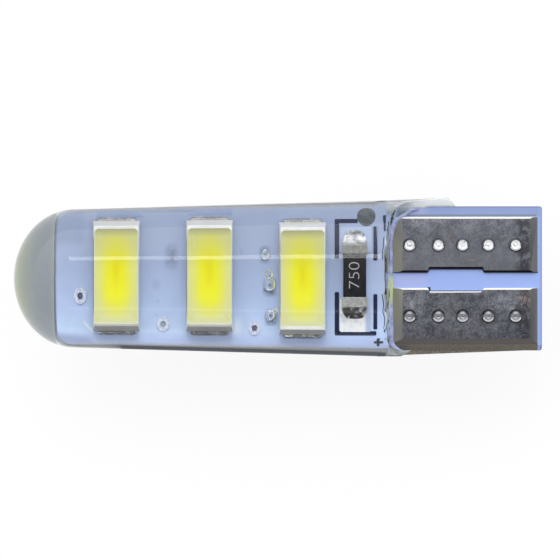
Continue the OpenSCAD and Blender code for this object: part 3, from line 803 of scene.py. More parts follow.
def diode_solder(face):
    """Pads and solder at both ends of the three diodes of one face."""
    bm = bmesh.new()
    for number in DIODES:
        low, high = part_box(f"led_{face}_{number}_leads")
        middle = on_face(face, low, high)
        half = (high.x - low.x) / 2
        reach = (high.y - low.y) / 2
        for side in (1, -1):
            seed = number * 7.3 + side * 2.1 + (50 if face == "rear" else 0)

            def drawn_up(u, t):
                return 0.16 * MM * (1 - t) ** 1.5 * (1 - 0.5 * u * u)

            y_in = middle.y + side * (reach - 0.02 * MM)
            y_out = middle.y + side * (reach + 0.05 * MM)
            wide = half * (0.62 if number == 3 and side > 0 else 0.96)
            mound(bm, middle.x, wide, y_in, y_out, drawn_up, 0.05 * MM, seed, 0.12)
            pad = bmesh.ops.create_cube(bm, size=1)["verts"]
            bmesh.ops.scale(bm, vec=(2 * half, reach - 0.4 * MM, 0.05 * MM), verts=pad)
            pad_y = middle.y + side * (reach + 0.4 * MM) / 2
            bmesh.ops.translate(bm, vec=(middle.x, pad_y, FACE_Z + 0.025 * MM), verts=pad)
    bmesh.ops.recalc_face_normals(bm, faces=bm.faces)
    bmesh.ops.transform(bm, matrix=face_turn(face), verts=bm.verts)
    return as_piece(f"diode_solder_{face}", bm, SOLDER, [f"led_{face}_solder"], 50)


for face in FACES:
    diode_solder(face)

# %% The resistor's caps, coating and solder
RESISTOR_X = 4.95 * MM
RESISTOR_Y = 0.15 * MM
CAP_END = 1.6 * MM
COATING, coating_shader = started("resistor coating", (0.012, 0.012, 0.014), 0.4)
coating_shader.inputs["Specular IOR Level"].default_value = 0.08
join(
    COATING,
    ramp(
        COATING, grain(COATING, 0.4 * MM, 4), [(0.3, (0.006, 0.006, 0.008)), (0.7, (0.015, 0.015, 0.018))]
    ),
    coating_shader.inputs["Base Color"],
)
relief(COATING, coating_shader, grain(COATING, 0.06 * MM, 2), 0.004 * MM)
CERAMIC, ceramic_shader = started("resistor ceramic", (0.8, 0.8, 0.77), 0.5)
join(
    CERAMIC,
    ramp(CERAMIC, grain(CERAMIC, 0.2 * MM), [(0.3, (0.72, 0.72, 0.69)), (0.7, (0.84, 0.84, 0.81))]),
    ceramic_shader.inputs["Base Color"],
)


def pad_finish():
    material, shader = started("bright pad", (0.92, 0.94, 0.97), 0.4, 0.1)
    place = on_board(material)
    bright = ramp(
        material, grain(material, 0.3 * MM, 4), [(0.3, (0.74, 0.77, 0.84)), (0.5, (0.97, 0.98, 1.0))]
    )
    dull = span(material, place[0], 5.55, 5.75)
    dull = maths(material, "MAXIMUM", dull, span(material, place[1], 0.0, 0.1))
    join(material, blended(material, dull, bright, (0.47, 0.55, 0.76)), shader.inputs["Base Color"])
    relief(material, shader, grain(material, 0.2 * MM, 3), 0.02 * MM)
    return material


PAD_FINISH = pad_finish()


def resistor_solder(face):
    bm = bmesh.new()
    for side, long, high, wide in ((1, 0.6, 0.44, 0.76), (-1, 0.52, 0.44, 0.8)):
        seed = 3.0 * side + (40 if face == "rear" else 0)

        def hollow(u, t):
            return high * MM * (1 - t) ** 1.9 * (1 - 0.45 * u * u)

        y_in = RESISTOR_Y + side * (CAP_END - 0.02 * MM)
        y_out = RESISTOR_Y + side * (CAP_END + long * MM)
        mound(bm, RESISTOR_X, wide * MM, y_in, y_out, hollow, 0.06 * MM, seed, 0.35)
    bmesh.ops.recalc_face_normals(bm, faces=bm.faces)
    bmesh.ops.transform(bm, matrix=face_turn(face), verts=bm.verts)
    return as_piece(f"resistor_solder_drop_{face}", bm, FILLET, [f"resistor_{face}_solder"], 50)


def resistor_pads(face):
    """Tinned pads: the upper one hardly shows past the solder, and the lower one is bare and bright."""
    bm = bmesh.new()
    for side, x_from, x_to, past in ((1, 4.0, 6.05, 0.76), (-1, 4.0, 6.0, 1.2)):
        y_in = RESISTOR_Y + side * (CAP_END - 0.5 * MM)
        y_out = RESISTOR_Y + side * (CAP_END + past * MM)
        pad = bmesh.ops.create_cube(bm, size=1)["verts"]
        bmesh.ops.scale(bm, vec=((x_to - x_from) * MM, abs(y_out - y_in), 0.05 * MM), verts=pad)
        middle = ((x_from + x_to) / 2 * MM, (y_in + y_out) / 2, FACE_Z + 0.025 * MM)
        bmesh.ops.translate(bm, vec=middle, verts=pad)
    upright = [e for e in bm.edges if abs(e.verts[0].co.z - e.verts[1].co.z) > 0.04 * MM]
    bmesh.ops.bevel(
        bm, geom=upright, offset=0.12 * MM, affect="EDGES", segments=4, profile=0.5, material=-1
    )
    bmesh.ops.transform(bm, matrix=face_turn(face), verts=bm.verts)
    return as_piece(f"resistor_pads_{face}", bm, PAD_FINISH)


for face in FACES:
    softened(f"resistor_{face}_caps", 0.05 * MM, CAP)
    softened(f"resistor_{face}_coating", 0.02 * MM, COATING)
    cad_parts[f"resistor_{face}_block"].data.materials.clear()
    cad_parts[f"resistor_{face}_block"].data.materials.append(CERAMIC)
    resistor_solder(face)
    resistor_pads(face)
print("resistors made")

# %% [markdown]
# Legends are printed in dark ink: a bracket round the resistor, a bar and a plus. Each stroke is a thin
# plate a few hundredths of a millimetre high with rounded corners, as screen printed ink is.

# %% Printed legends
INK, ink_shader = started("legend ink", (0.02, 0.035, 0.11), 0.5)
ink_shader.inputs["Specular IOR Level"].default_value = 0.08
join(
    INK,
    ramp(INK, grain(INK, 0.15 * MM, 3), [(0.25, (0.004, 0.009, 0.035)), (0.75, (0.012, 0.024, 0.08))]),
    ink_shader.inputs["Base Color"],
)
INK_H = 0.02 * MM
STROKES = (
    # x from, x to, y from, y to, in millimetres from the axis
    (3.68, 3.96, 0.95, 2.98),
    (3.68, 3.96, -2.84, -0.65),
    (3.90, 5.15, 2.74, 2.98),
    (3.90, 6.33, -2.84, -2.60),
    (6.17, 6.38, 0.85, 2.55),
    (6.17, 6.38, -2.50, -0.75),
    (6.69, 6.86, 2.30, 3.20),
    (6.37, 6.53, -3.52, -3.00),
    (6.19, 6.71, -3.33, -3.18),
)


def legend(face):
    bm = bmesh.new()
    for x_from, x_to, y_from, y_to in STROKES:
        verts = bmesh.ops.create_cube(bm, size=1)["verts"]
        bmesh.ops.scale(
            bm, vec=((x_to - x_from) * MM, (y_to - y_from) * MM, INK_H), verts=verts
        )
        middle = ((x_from + x_to) / 2 * MM, (y_from + y_to) / 2 * MM, FACE_Z + INK_H / 2)
        bmesh.ops.translate(bm, vec=middle, verts=verts)
        upright = [
            e for e in {e for v in verts for e in v.link_edges}
            if abs(e.verts[0].co.z - e.verts[1].co.z) > INK_H / 2
        ]
        bmesh.ops.bevel(
            bm, geom=upright, offset=0.05 * MM, affect="EDGES", segments=3, profile=0.5, material=-1
        )
    bmesh.ops.transform(bm, matrix=face_turn(face), verts=bm.verts)
    return as_piece(f"legend_{face}", bm, INK)


for face in FACES:
    legend(face)

# %% The resistor's value
MARK, mark_shader = started("value print", (0.62, 0.62, 0.60), 0.5)
join(
    MARK,
    ramp(MARK, grain(MARK, 0.1 * MM, 3), [(0.3, (0.28, 0.28, 0.275)), (0.7, (0.5, 0.5, 0.49))]),
    mark_shader.inputs["Base Color"],
)


def value_print(face):
    """The plain digits 750 on the coating, read from the diodes' side."""
    text = bpy.data.curves.new("value", "FONT")
    text.body = "750"
    text.size = 1.0 * MM
    text.extrude = 0.004 * MM
    text.offset = -0.018 * MM
    text.align_x = "CENTER"
    text.align_y = "CENTER"
    written = bpy.data.objects.new("value", text)
    bpy.context.collection.objects.link(written)
    bpy.context.view_layer.update()
    mesh = bpy.data.meshes.new_from_object(written.evaluated_get(bpy.context.evaluated_depsgraph_get()))
    bpy.data.objects.remove(written)
    bm = bmesh.new()
    bm.from_mesh(mesh)
    bpy.data.meshes.remove(mesh)
    bmesh.ops.remove_doubles(bm, verts=bm.verts, dist=0.0001 * MM)
    low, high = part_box(f"resistor_{face}_coating")
    top = max(high.z - AXIS.z, AXIS.z - low.z)
    bmesh.ops.scale(bm, vec=(0.95, 1.0, 1), verts=bm.verts)
    bmesh.ops.rotate(bm, cent=(0, 0, 0), matrix=Matrix.Rotation(math.pi / 2, 3, "Z"), verts=bm.verts)
    bmesh.ops.translate(bm, vec=(RESISTOR_X, RESISTOR_Y, top + 0.003 * MM), verts=bm.verts)
    bmesh.ops.transform(bm, matrix=face_turn(face), verts=bm.verts)
    return as_piece(f"value_{face}", bm, MARK)


for face in FACES:
    value_print(face)
print("legends and values printed")

# %% [markdown]
# The plated holes are closed with lacquer, which looks dark where it sank in. The silicone that fills
# the tooling hole is painted grey, painted shade that stands in for the darker view through the hole.
# Each filling is a short cylinder inside its hole.

# %% Fillings of the holes
SUNK, sunk_shader = started("sunk lacquer", (0.08, 0.085, 0.17), 0.25)
# Painted shade: the tooling hole's silicone is opaque grey
SHADED_HOLE_SILICONE, shaded_hole_shader = started("shaded hole silicone", (0.17, 0.195, 0.215), 0.35)
for finish, shader_node, dark, light in (
    (SUNK, sunk_shader, (0.05, 0.055, 0.13), (0.16, 0.17, 0.28)),
    (SHADED_HOLE_SILICONE, shaded_hole_shader, (0.045, 0.058, 0.07), (0.09, 0.11, 0.128)),
):
    tone = ramp(finish, grain(finish, 0.3 * MM, 3), [(0.35, dark), (0.65, light)])
    if finish is SUNK:
        flush = behind(finish, on_board(finish), rectangle(-7.8, -6.8, -3, 3))
        tone = blended(finish, maths(finish, "MULTIPLY", flush, 0.8), tone, (0.38, 0.44, 0.58))
    join(finish, tone, shader_node.inputs["Base Color"])


def filling(name, places, radius, sunk_by, material):
    bm = bmesh.new()
    for x, y in places:
        made = bmesh.ops.create_cone(
            bm,
            cap_ends=True,
            segments=32,
            radius1=radius,
            radius2=radius,
            depth=2 * (FACE_Z - sunk_by),
        )["verts"]
        bmesh.ops.translate(bm, vec=(x * MM, y * MM, 0), verts=made)
    bmesh.ops.transform(bm, matrix=face_turn("front"), verts=bm.verts)
    return as_piece(name, bm, material)


VIAS = ((-12.6, -0.84), (-7.3, -2.25), (-1.45, -2.46))
filling("hole_lacquer", VIAS, 0.172 * MM, 0.02 * MM, SUNK)
filling("tooling_hole_silicone", ((5.70, 3.15),), 0.59 * MM, 0.03 * MM, SHADED_HOLE_SILICONE)

# %% [markdown]
# The silicone is one clear body. It was turned in a mould, so its outline is spun about the long axis:
# an elliptical nose, a long slight taper and a rounded rim. Its open end slants where it met the board,
# and it wanders a little, because the silicone crept there before it set. Inside there is no hollow:
# the board and its parts simply sit in the clear body, as they do in a casting.

# %% The silicone's outline
NOSE_X = -16.95 * MM
NOSE_L = 3.9 * MM
SHOULDER_R = 4.44 * MM
MOUTH_R = 5.02 * MM
MOUTH_X = 7.25 * MM
RIM_R = 0.25 * MM
MOUTH_SLANT = 0.42 * MM
SPIN_STEPS = 128


def silicone_outline():
    """Points along the outline, each a place along the axis and a radius."""
    steps = 22
    nose = []
    for i in range(steps + 1):
        angle = math.pi / 2 * i / steps
        nose.append((NOSE_X + NOSE_L * (1 - math.cos(angle)), SHOULDER_R * math.sin(angle)))
    start, end = nose[-1][0], MOUTH_X - RIM_R
    taper = [
        (start + (end - start) * i / 24, SHOULDER_R + (MOUTH_R - SHOULDER_R) * i / 24)
        for i in range(1, 25)
    ]
    rim = []
    for i in range(1, 6):
        angle = math.pi / 2 * i / 5
        rim.append((end + RIM_R * math.sin(angle), MOUTH_R - RIM_R + RIM_R * math.cos(angle)))
    end_face = [(MOUTH_X, (MOUTH_R - RIM_R) * (1 - i / 14)) for i in range(1, 15)]
    return nose + taper + rim + end_face


def silicone_turned():
    bm = bmesh.new()
    points = [bm.verts.new((x, 0, r)) for x, r in silicone_outline()]
    for first, second in zip(points, points[1:]):
        bm.edges.new((first, second))
    bmesh.ops.spin(
        bm,
        geom=bm.verts[:] + bm.edges[:],
        cent=(0, 0, 0),
        axis=(1, 0, 0),
        angle=2 * math.pi,
        steps=SPIN_STEPS,
        use_merge=True,
    )
    bmesh.ops.remove_doubles(bm, verts=bm.verts, dist=0.001 * MM)
    for v in bm.verts:
        near_end = max(0.0, min(1.0, (v.co.x - (MOUTH_X - 0.9 * MM)) / (0.6 * MM)))
        rise = abs(v.co.z) / MOUTH_R
        wander = noise.noise(v.co / (0.9 * MM)) * 0.09 * MM + noise.noise(v.co / (0.35 * MM)) * 0.03 * MM
        keep = min(1.0, rise * 2.5)
        v.co.x += near_end * keep * (wander - MOUTH_SLANT * rise)
    bmesh.ops.recalc_face_normals(bm, faces=bm.faces)
    return bm


# %% [markdown]
# At the open end the silicone crept along the board's edges in two tongues. Between the end and each
# tongue is a hollow corner, as high as the body beside it and as low as the tongue further out. Each
# is cut from a prism by two others with the Boolean modifier, and all are united into one closed skin,
# because glass with walls inside it bends the light at every wall.

# %% The silicone's tongues and corners
TONGUE_T = 1.9 * MM
EDGE_Y = 4.625 * MM
TONGUE_OUT = 0.56 * MM
TONGUE_L = 4.2 * MM
FLASH_L = 1.3 * MM
FLASH_OUT = 0.38 * MM
TONGUE_CORNER_R = 1.8 * MM
TONGUE_LAP = 0.2 * MM
FLASH_CORNER_R = 0.7 * MM
REACH = 20 * MM


def prism(outline, half, rounding=0.0):
    """A flat outline drawn out by half to both sides of the board's middle plane."""
    bm = bmesh.new()
    flat = bm.faces.new([bm.verts.new((x, y, -half)) for x, y in outline])
    lifted = bmesh.ops.extrude_face_region(bm, geom=[flat])["geom"]
    for v in lifted:
        if isinstance(v, bmesh.types.BMVert):
            v.co.z = half
    bmesh.ops.recalc_face_normals(bm, faces=bm.faces)
    if rounding:
        rim = [
            e for e in bm.edges
            if abs(e.verts[0].co.z - e.verts[1].co.z) < 0.001 * MM
            and min(abs(e.verts[0].co.y), abs(e.verts[1].co.y)) > EDGE_Y * 0.9
        ]
        bmesh.ops.bevel(
            bm, geom=rim, offset=rounding, affect="EDGES", segments=3, profile=0.5, material=-1,
            clamp_overlap=True,
        )
    return bm


def combined(operation, solids):
    """One closed skin from several closed meshes, by the Boolean modifier."""
    objects = []
    for bm in solids:
        mesh = bpy.data.meshes.new("solid")
        bm.to_mesh(mesh)
        bm.free()
        made = bpy.data.objects.new("solid", mesh)
        bpy.context.collection.objects.link(made)
        objects.append(made)
    for other in objects[1:]:
        step = objects[0].modifiers.new("combine", "BOOLEAN")
        step.operation = operation
        step.solver = "MANIFOLD"
        step.object = other
    bpy.context.view_layer.update()
    whole = objects[0].evaluated_get(bpy.context.evaluated_depsgraph_get())
    mesh = bpy.data.meshes.new_from_object(whole)
    bm = bmesh.new()
    bm.from_mesh(mesh)
    bpy.data.meshes.remove(mesh)
    for made in objects:
        bpy.data.objects.remove(made)
    bmesh.ops.remove_doubles(bm, verts=bm.verts, dist=0.0005 * MM)
    stray = [e for e in bm.edges if not e.link_faces]
    bmesh.ops.delete(bm, geom=stray, context="EDGES")
    gaps = [e for e in bm.edges if len(e.link_faces) == 1]
    bmesh.ops.holes_fill(bm, edges=gaps, sides=0)
    turned_out(bm)
    return bm


def arc(radius, steps=10):
    """How far along and across a hollow quarter round runs, from the open end outwards."""
    angles = [math.pi / 2 * i / steps for i in range(steps + 1)]
    return [(radius * (1 - math.cos(a)), radius * math.sin(a)) for a in angles]


def mouth_corner(side, radius, lap=0.0):
    """The hollow corner between the open end and one tongue."""
    back = MOUTH_X - 0.6 * MM
    root = EDGE_Y - lap - radius
    plan = [(MOUTH_X + out, side * (root + up)) for out, up in arc(radius)]
    plan += [(MOUTH_X + radius, side * MOUTH_R), (back, side * MOUTH_R), (back, side * root)]
    low = TONGUE_T / 2 * 0.9
    fall = [(MOUTH_X + out, low + (MOUTH_R - low) * (1 - up / radius)) for out, up in arc(radius)]
    outline = [(back, MOUTH_R), *fall, *[(x, -z) for x, z in reversed(fall)], (back, -MOUTH_R)]
    side_view = prism(outline, REACH)
    upright = Matrix.Rotation(math.pi / 2, 3, "X")
    bmesh.ops.rotate(side_view, cent=(0, 0, 0), matrix=upright, verts=side_view.verts)
    round_body = bmesh.new()
    inside = MOUTH_R - 0.012 * MM
    bmesh.ops.create_cone(
        round_body, cap_ends=True, segments=SPIN_STEPS, radius1=inside, radius2=inside, depth=2 * REACH
    )
    lying = Matrix.Rotation(math.pi / 2, 3, "Y")
    bmesh.ops.rotate(round_body, cent=(0, 0, 0), matrix=lying, verts=round_body.verts)
    corner = combined("INTERSECT", [prism(plan, REACH), side_view, round_body])
    for v in corner.verts:
        fade = max(0.0, min(1.0, 1 - (v.co.x - MOUTH_X) / radius))
        v.co.x -= MOUTH_SLANT * fade * abs(v.co.z) / MOUTH_R
    return corner


long_tongue = [
    (MOUTH_X - 0.9 * MM, EDGE_Y - 0.8 * MM),
    (MOUTH_X - 0.9 * MM, MOUTH_R - 0.06 * MM),
    (MOUTH_X + TONGUE_L - TONGUE_OUT, EDGE_Y + TONGUE_OUT),
    (MOUTH_X + TONGUE_L, EDGE_Y - 0.02 * MM),
    (MOUTH_X + TONGUE_CORNER_R + 3 * TONGUE_LAP, EDGE_Y - 0.02 * MM),
    (MOUTH_X + TONGUE_CORNER_R, EDGE_Y - TONGUE_LAP),
    (MOUTH_X, EDGE_Y - TONGUE_LAP),
]
flash = [
    (MOUTH_X - 0.9 * MM, -EDGE_Y + 0.8 * MM),
    (MOUTH_X - 0.9 * MM, -EDGE_Y - FLASH_OUT),
    (MOUTH_X + FLASH_L / 2, -EDGE_Y - FLASH_OUT),
    (MOUTH_X + FLASH_L, -EDGE_Y + 0.02 * MM),
    (MOUTH_X, -EDGE_Y + 0.02 * MM),
]
SKIN = combined(
    "UNION",
    [
        silicone_turned(),
        prism(long_tongue, TONGUE_T / 2, 0.14 * MM),
        prism(flash, TONGUE_T / 2, 0.14 * MM),
        mouth_corner(1, TONGUE_CORNER_R, TONGUE_LAP),
        mouth_corner(-1, FLASH_CORNER_R),
    ],
)

# %% [markdown]
# Where the silicone stopped on the board it left a thin lip. It runs up the open end and round the
# hollow corner of each tongue. A bevelled curve makes such a thread: the outline is a row of points,
# each with its own thickness, so the thread can run out to nothing at both ends.

# %% The silicone's lip on the board
LIP_HALF = 0.13 * MM
LIP_Z = 0.56 * MM
LIP_GLOW = rectangle(6.8, 7.6, -1.5, 0.1)
LIP, lip_shader = started("silicone lip", (0.70, 0.71, 0.90), 0.18)
lip_shader.inputs["Transmission Weight"].default_value = 0.35
lip_shader.inputs["IOR"].default_value = 1.41
lip_tone = ramp(LIP, grain(LIP, 0.4 * MM, 3), [(0.35, (0.33, 0.38, 0.64)), (0.65, (0.58, 0.62, 0.90))])
# A painted yellow green glow on the lip by the open end
lip_glow = behind(LIP, on_board(LIP), LIP_GLOW, 0.25)
lip_tone = blended(LIP, product(LIP, lip_glow, 0.85), lip_tone, (0.72, 0.80, 0.33))
join(LIP, lip_tone, lip_shader.inputs["Base Color"])


def lip_path():
    """From the short tongue along the open end and round the hollow corner of the long one."""
    long_root = EDGE_Y - TONGUE_LAP - TONGUE_CORNER_R
    short_root = EDGE_Y - FLASH_CORNER_R
    short = [(MOUTH_X + out, -short_root - up) for out, up in reversed(arc(FLASH_CORNER_R))]
    straight = [(MOUTH_X, -short_root + (long_root + short_root) * i / 12) for i in range(1, 12)]
    long = [(MOUTH_X + out, long_root + up) for out, up in arc(TONGUE_CORNER_R, 16)]
    return short + straight + long


def silicone_lip(face):
    line = bpy.data.curves.new("lip", "CURVE")
    line.dimensions = "3D"
    line.bevel_depth = LIP_HALF
    line.bevel_resolution = 4
    line.use_fill_caps = True
    places = lip_path()
    long_root = EDGE_Y - TONGUE_LAP - TONGUE_CORNER_R
    thread = line.splines.new("POLY")
    thread.points.add(len(places) - 1)
    for i, (point, (x, y)) in enumerate(zip(thread.points, places)):
        sway = noise.noise(Vector((x, y, 0)) / (0.8 * MM))
        point.co = (x + 0.04 * MM + 0.03 * MM * sway, y, 0, 1)
        ends = min(1.0, (i + 1) / 4, (len(places) - i) / 7)
        wide = 1.2 if abs(y) > long_root else 0.75
        point.radius = ends * (wide + 0.3 * sway)
    drawn = bpy.data.objects.new("lip", line)
    bpy.context.collection.objects.link(drawn)
    bpy.context.view_layer.update()
    mesh = bpy.data.meshes.new_from_object(drawn.evaluated_get(bpy.context.evaluated_depsgraph_get()))
    bpy.data.objects.remove(drawn)
    bm = bmesh.new()
    bm.from_mesh(mesh)
    bpy.data.meshes.remove(mesh)
    bmesh.ops.remove_doubles(bm, verts=bm.verts, dist=0.0005 * MM)
    side = -1 if face == "rear" else 1
    for v in bm.verts:
        v.co.z = side * (LIP_Z + v.co.z)
    turned_out(bm)
    bmesh.ops.transform(bm, matrix=Matrix.Translation(AXIS), verts=bm.verts)
    return as_piece(f"silicone_lip_{face}", bm, LIP, (), 60)


for face in FACES:
    silicone_lip(face)

# %% Bubbles in the silicone
BUBBLES = (
    # x, y and height from the axis, then half sizes along x, y and z, in millimetres
    (-0.78, 1.28, 2.0, 0.28, 0.3, 0.24),
    (-0.52, 0.22, 2.1, 0.24, 0.3, 0.24),
    (-0.50, -0.32, 2.0, 0.33, 0.36, 0.26),
    (-0.45, -2.0, 1.9, 0.29, 0.32, 0.24),
    (-0.16, -1.72, 1.9, 0.15, 0.16, 0.14),
    (4.55, -2.05, 1.6, 0.06, 0.07, 0.05),
)


def trapped_bubbles(skin):
    """Small hollows whose walls look inwards, as the walls of a cavity do."""
    for face in FACES:
        for x, y, z, half_x, half_y, half_z in BUBBLES:
            made = bmesh.ops.create_icosphere(skin, subdivisions=3, radius=1)["verts"]
            for v in made:
                v.co *= 1 + 0.16 * noise.noise(v.co * 1.1 + Vector((x, y, z)) * 3)
            bmesh.ops.scale(skin, vec=(half_x * MM, half_y * MM, half_z * MM), verts=made)
            bmesh.ops.translate(skin, vec=(x * MM, y * MM, z * MM), verts=made)
            if face == "rear":
                turn = Matrix.Rotation(math.pi, 3, "X")
                bmesh.ops.rotate(skin, cent=(0, 0, 0), matrix=turn, verts=made)
            walls = list({f for v in made for f in v.link_faces})
            bmesh.ops.reverse_faces(skin, faces=walls)


trapped_bubbles(SKIN)
loose = [e for e in SKIN.edges if len(e.link_faces) < 2]
print("silicone skin:", len(SKIN.faces), "faces,", len(loose), "open edges")

# %% [markdown]
# Clear silicone bends light like glass does, with an index of 1.41. Over the board it is tinted only a
# little, but the solid nose is painted grey, with a green yellow cast at its very end: painted shade
# that stands in for the darker view through it. Its rim over the board is painted darker, darkest on
# the side away from the light, and a painted glow tints it near the open end. A lamp's light has to
# reach the board through the silicone. Cycles can't find that path through bending glass on its own,
# so for rays from lamps the skin turns into a tinted Transparent shader.

# %% The silicone's finish
CLEAR = (0.92, 0.94, 0.93)
TINTS = (
    # millimetres from the axis' zero along the bulb, and the colour there
    (-17.0, (0.14, 0.17, 0.085)),
    (-16.3, (0.115, 0.14, 0.105)),
    (-15.4, (0.088, 0.108, 0.13)),
    (-14.5, (0.088, 0.108, 0.13)),
    (-14.17, (0.13, 0.155, 0.16)),
    (-14.05, CLEAR),
    (7.3, CLEAR),
    (7.6, (0.42, 0.45, 0.47)),
    (9.3, (0.70, 0.73, 0.74)),
    (11.5, (0.74, 0.76, 0.77)),
)
# A painted glow tints the silicone near the open end
GLOW = (0.78, 0.93, 0.42)
GLOW_FIELD = rectangle(6.7, 7.4, -2.0, 0.5)
# Painted shade on the rim, where the surface turns away from the camera, darkest on the side away from the light
RIM_TINT = (0.28, 0.31, 0.34)
LOW_RIM_SHADE = (0.09, 0.10, 0.12)
CLOUD_FROM, CLOUD_TO = (0.36, 0.39, 0.41), (0.74, 0.77, 0.78)
# Along the bulb and across it, not turned with the face: the same two tongues show on both faces
CLOUDY_FIELDS = (rectangle(7.05, 12, 4.4, 5.6), rectangle(7.05, 9, -5.6, -4.4))


def silicone_finish():
    material, shader = started("clear silicone", CLEAR, 0.03)
    shader.inputs["Transmission Weight"].default_value = 1.0
    shader.inputs["IOR"].default_value = 1.41
    place = on_board(material)
    first, last = TINTS[0][0], TINTS[-1][0]
    stops = [((x - first) / (last - first), colour) for x, colour in TINTS]
    tint = ramp(material, span(material, place[0], first, last), stops)
    grazing = add(material, "ShaderNodeLayerWeight").outputs["Facing"]
    rim = product(material, span(material, grazing, 0.62, 0.8), span(material, place[0], -13.4, -12.8))
    rim = product(material, rim, span(material, place[0], 7.2, 6.9))
    side_away_from_light = span(material, facing(material)[1], -0.2, -0.8)
    tint = blended(material, rim, tint, blended(material, side_away_from_light, RIM_TINT, LOW_RIM_SHADE))
    glow = product(material, behind(material, place, GLOW_FIELD, 0.3), span(material, place[2], 3.4, 2.0))
    tint = blended(material, glow, tint, GLOW)
    upright_place = (place[0], product(material, place[1], place[3]))
    cloudy = any_of(material, upright_place, CLOUDY_FIELDS, 0.2)
    cloud = blended(material, span(material, place[0], 7.0, 9.6), CLOUD_FROM, CLOUD_TO)
    tint = blended(material, cloudy, tint, cloud)
    low_rim_shade = product(material, span(material, grazing, 0.55, 0.70), side_away_from_light)
    low_rim_shade = product(material, low_rim_shade, span(material, place[0], -13.0, -10.0), span(material, place[0], 7.2, 6.9))
    tint = blended(material, low_rim_shade, tint, LOW_RIM_SHADE)
    join(material, tint, shader.inputs["Base Color"])
    dull = maths(material, "MAXIMUM", product(material, cloudy, 0.55), low_rim_shade)
    join(material, span(material, dull, 0, 1, 1.0, 0.15), shader.inputs["Transmission Weight"])
    join(material, span(material, low_rim_shade, 0, 1, 0.5, 0.0), shader.inputs["Specular IOR Level"])
    relief(material, shader, grain(material, 2.5 * MM, 2), 0.03 * MM, 0.4)
    through = add(material, "ShaderNodeBsdfTransparent")
    through.inputs["Color"].default_value = (0.94, 0.95, 0.945, 1)
    path = add(material, "ShaderNodeLightPath")
    lamp_ray = maths(
        material, "MAXIMUM", path.outputs["Is Shadow Ray"], path.outputs["Is Diffuse Ray"]
    )
    choice = add(material, "ShaderNodeMixShader")
    join(material, lamp_ray, choice.inputs["Fac"])
    join(material, shader.outputs["BSDF"], choice.inputs[1])
    join(material, through.outputs["BSDF"], choice.inputs[2])
    output = material.node_tree.nodes["Material Output"]
    join(material, choice.outputs["Shader"], output.inputs["Surface"])
    return material


SILICONE = silicone_finish()
bmesh.ops.transform(SKIN, matrix=Matrix.Translation(AXIS), verts=SKIN.verts)
as_piece("silicone_skin", SKIN, SILICONE, ["silicone_body"], 40)

# %% [markdown]
# The bulb lies on a white table under soft light. The floor shows white to the camera and in
# reflections, and it still takes the bulb's shadow, because only part of it is lit by itself.

# %% Floor
FLOOR_SHARE = 0.86


def floor_finish():
    material, shader = started("white table", (0.97, 0.97, 0.97), 0.9)
    shader.inputs["Specular IOR Level"].default_value = 0.0
    glow = add(material, "ShaderNodeEmission")
    glow.inputs["Strength"].default_value = 1.0
    path = add(material, "ShaderNodeLightPath")
    seen = maths(material, "MAXIMUM", path.outputs["Is Camera Ray"], path.outputs["Is Glossy Ray"])
    seen = maths(material, "MAXIMUM", seen, path.outputs["Is Transmission Ray"])
    choice = add(material, "ShaderNodeMixShader")
    join(material, maths(material, "MULTIPLY", seen, FLOOR_SHARE), choice.inputs["Fac"])
    join(material, shader.outputs["BSDF"], choice.inputs[1])
    join(material, glow.outputs["Emission"], choice.inputs[2])
    output = material.node_tree.nodes["Material Output"]
    join(material, choice.outputs["Shader"], output.inputs["Surface"])
    return material


ground = bmesh.new()
bmesh.ops.create_grid(ground, x_segments=1, y_segments=1, size=2.0)
table_mesh = bpy.data.meshes.new("table")
ground.to_mesh(table_mesh)
ground.free()
table_mesh.materials.append(floor_finish())
table = bpy.data.objects.new("table", table_mesh)
bpy.context.collection.objects.link(table)

# %% [markdown]
# The light comes mostly from one side of a bright room. The world is a soft dome, darker right
# overhead, where the camera and the one who holds it would be, and brighter towards +Y. Two long lamps
# parallel to the bulb give the thin bright lines along the silicone.

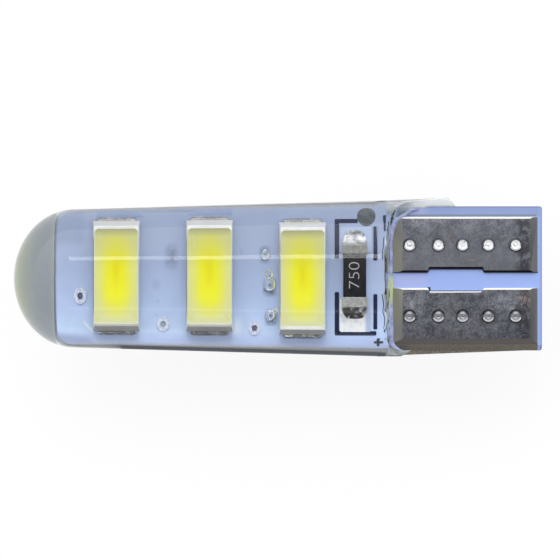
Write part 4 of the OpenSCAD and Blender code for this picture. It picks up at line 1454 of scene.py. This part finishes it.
# %% World
SKY_SIDE = 0.75
SKY_LEVEL = 1.28
world = bpy.data.worlds.new("studio")
bpy.context.scene.world = world
world.use_nodes = True
background = world.node_tree.nodes["Background"]
split = add(world, "ShaderNodeSeparateXYZ")
join(world, add(world, "ShaderNodeTexCoord").outputs["Generated"], split.inputs["Vector"])
dome = ramp(world, split.outputs["Z"], [(0.62, (1.0, 1.0, 1.02)), (0.92, (0.34, 0.34, 0.36))])
aside = maths(world, "ADD", maths(world, "MULTIPLY", split.outputs["Y"], SKY_SIDE), 1.0)
lit = add(world, "ShaderNodeVectorMath", operation="SCALE")
join(world, dome, lit.inputs[0])
join(world, maths(world, "MULTIPLY", aside, SKY_LEVEL), lit.inputs["Scale"])
plain = add(world, "ShaderNodeLightPath").outputs["Is Camera Ray"]
join(world, blended(world, plain, lit.outputs["Vector"], (1.0, 1.0, 1.0)), background.inputs["Color"])


# %% Lamps
def lamp(name, tilt_deg, distance, size_x, size_y, energy, colour=(1, 1, 1)):
    """A long lamp parallel to the bulb, tilted from overhead towards +Y."""
    light = bpy.data.lights.new(name, "AREA")
    light.shape = "RECTANGLE"
    light.size, light.size_y = size_x, size_y
    light.energy = energy
    light.color = colour
    made = bpy.data.objects.new(name, light)
    bpy.context.collection.objects.link(made)
    tilt = math.radians(tilt_deg)
    made.location = AXIS + Vector((0, math.sin(tilt), math.cos(tilt))) * distance
    made.rotation_euler = (-tilt, 0, 0)
    return made


lamp("strip lamp", 33, 0.5, 0.16, 0.055, 0.14).location.x -= 0.02
lamp("low strip lamp", -50.6, 0.5, 0.14, 0.04, 0.02).location.x -= 0.02
soft_box = lamp("soft box", 48, 0.8, 0.5, 0.3, 1.2)
soft_box.visible_glossy = False
soft_box.visible_transmission = False

# %% Camera
VIEW_W = 35.97 * MM
CAMERA_UP = 0.4
SENSOR = 36.0
camera_data = bpy.data.cameras.new("camera")
camera_data.sensor_width = SENSOR
camera_data.lens = SENSOR * CAMERA_UP / VIEW_W
camera_data.clip_start = 0.01
camera_data.clip_end = 10
camera = bpy.data.objects.new("camera", camera_data)
bpy.context.collection.objects.link(camera)
camera.location = AXIS + Vector((0.1445 * MM, -0.103 * MM, CAMERA_UP))
bpy.context.scene.camera = camera
bpy.context.scene.view_settings.view_transform = "Standard"
print("lens", round(camera_data.lens, 1), "mm")
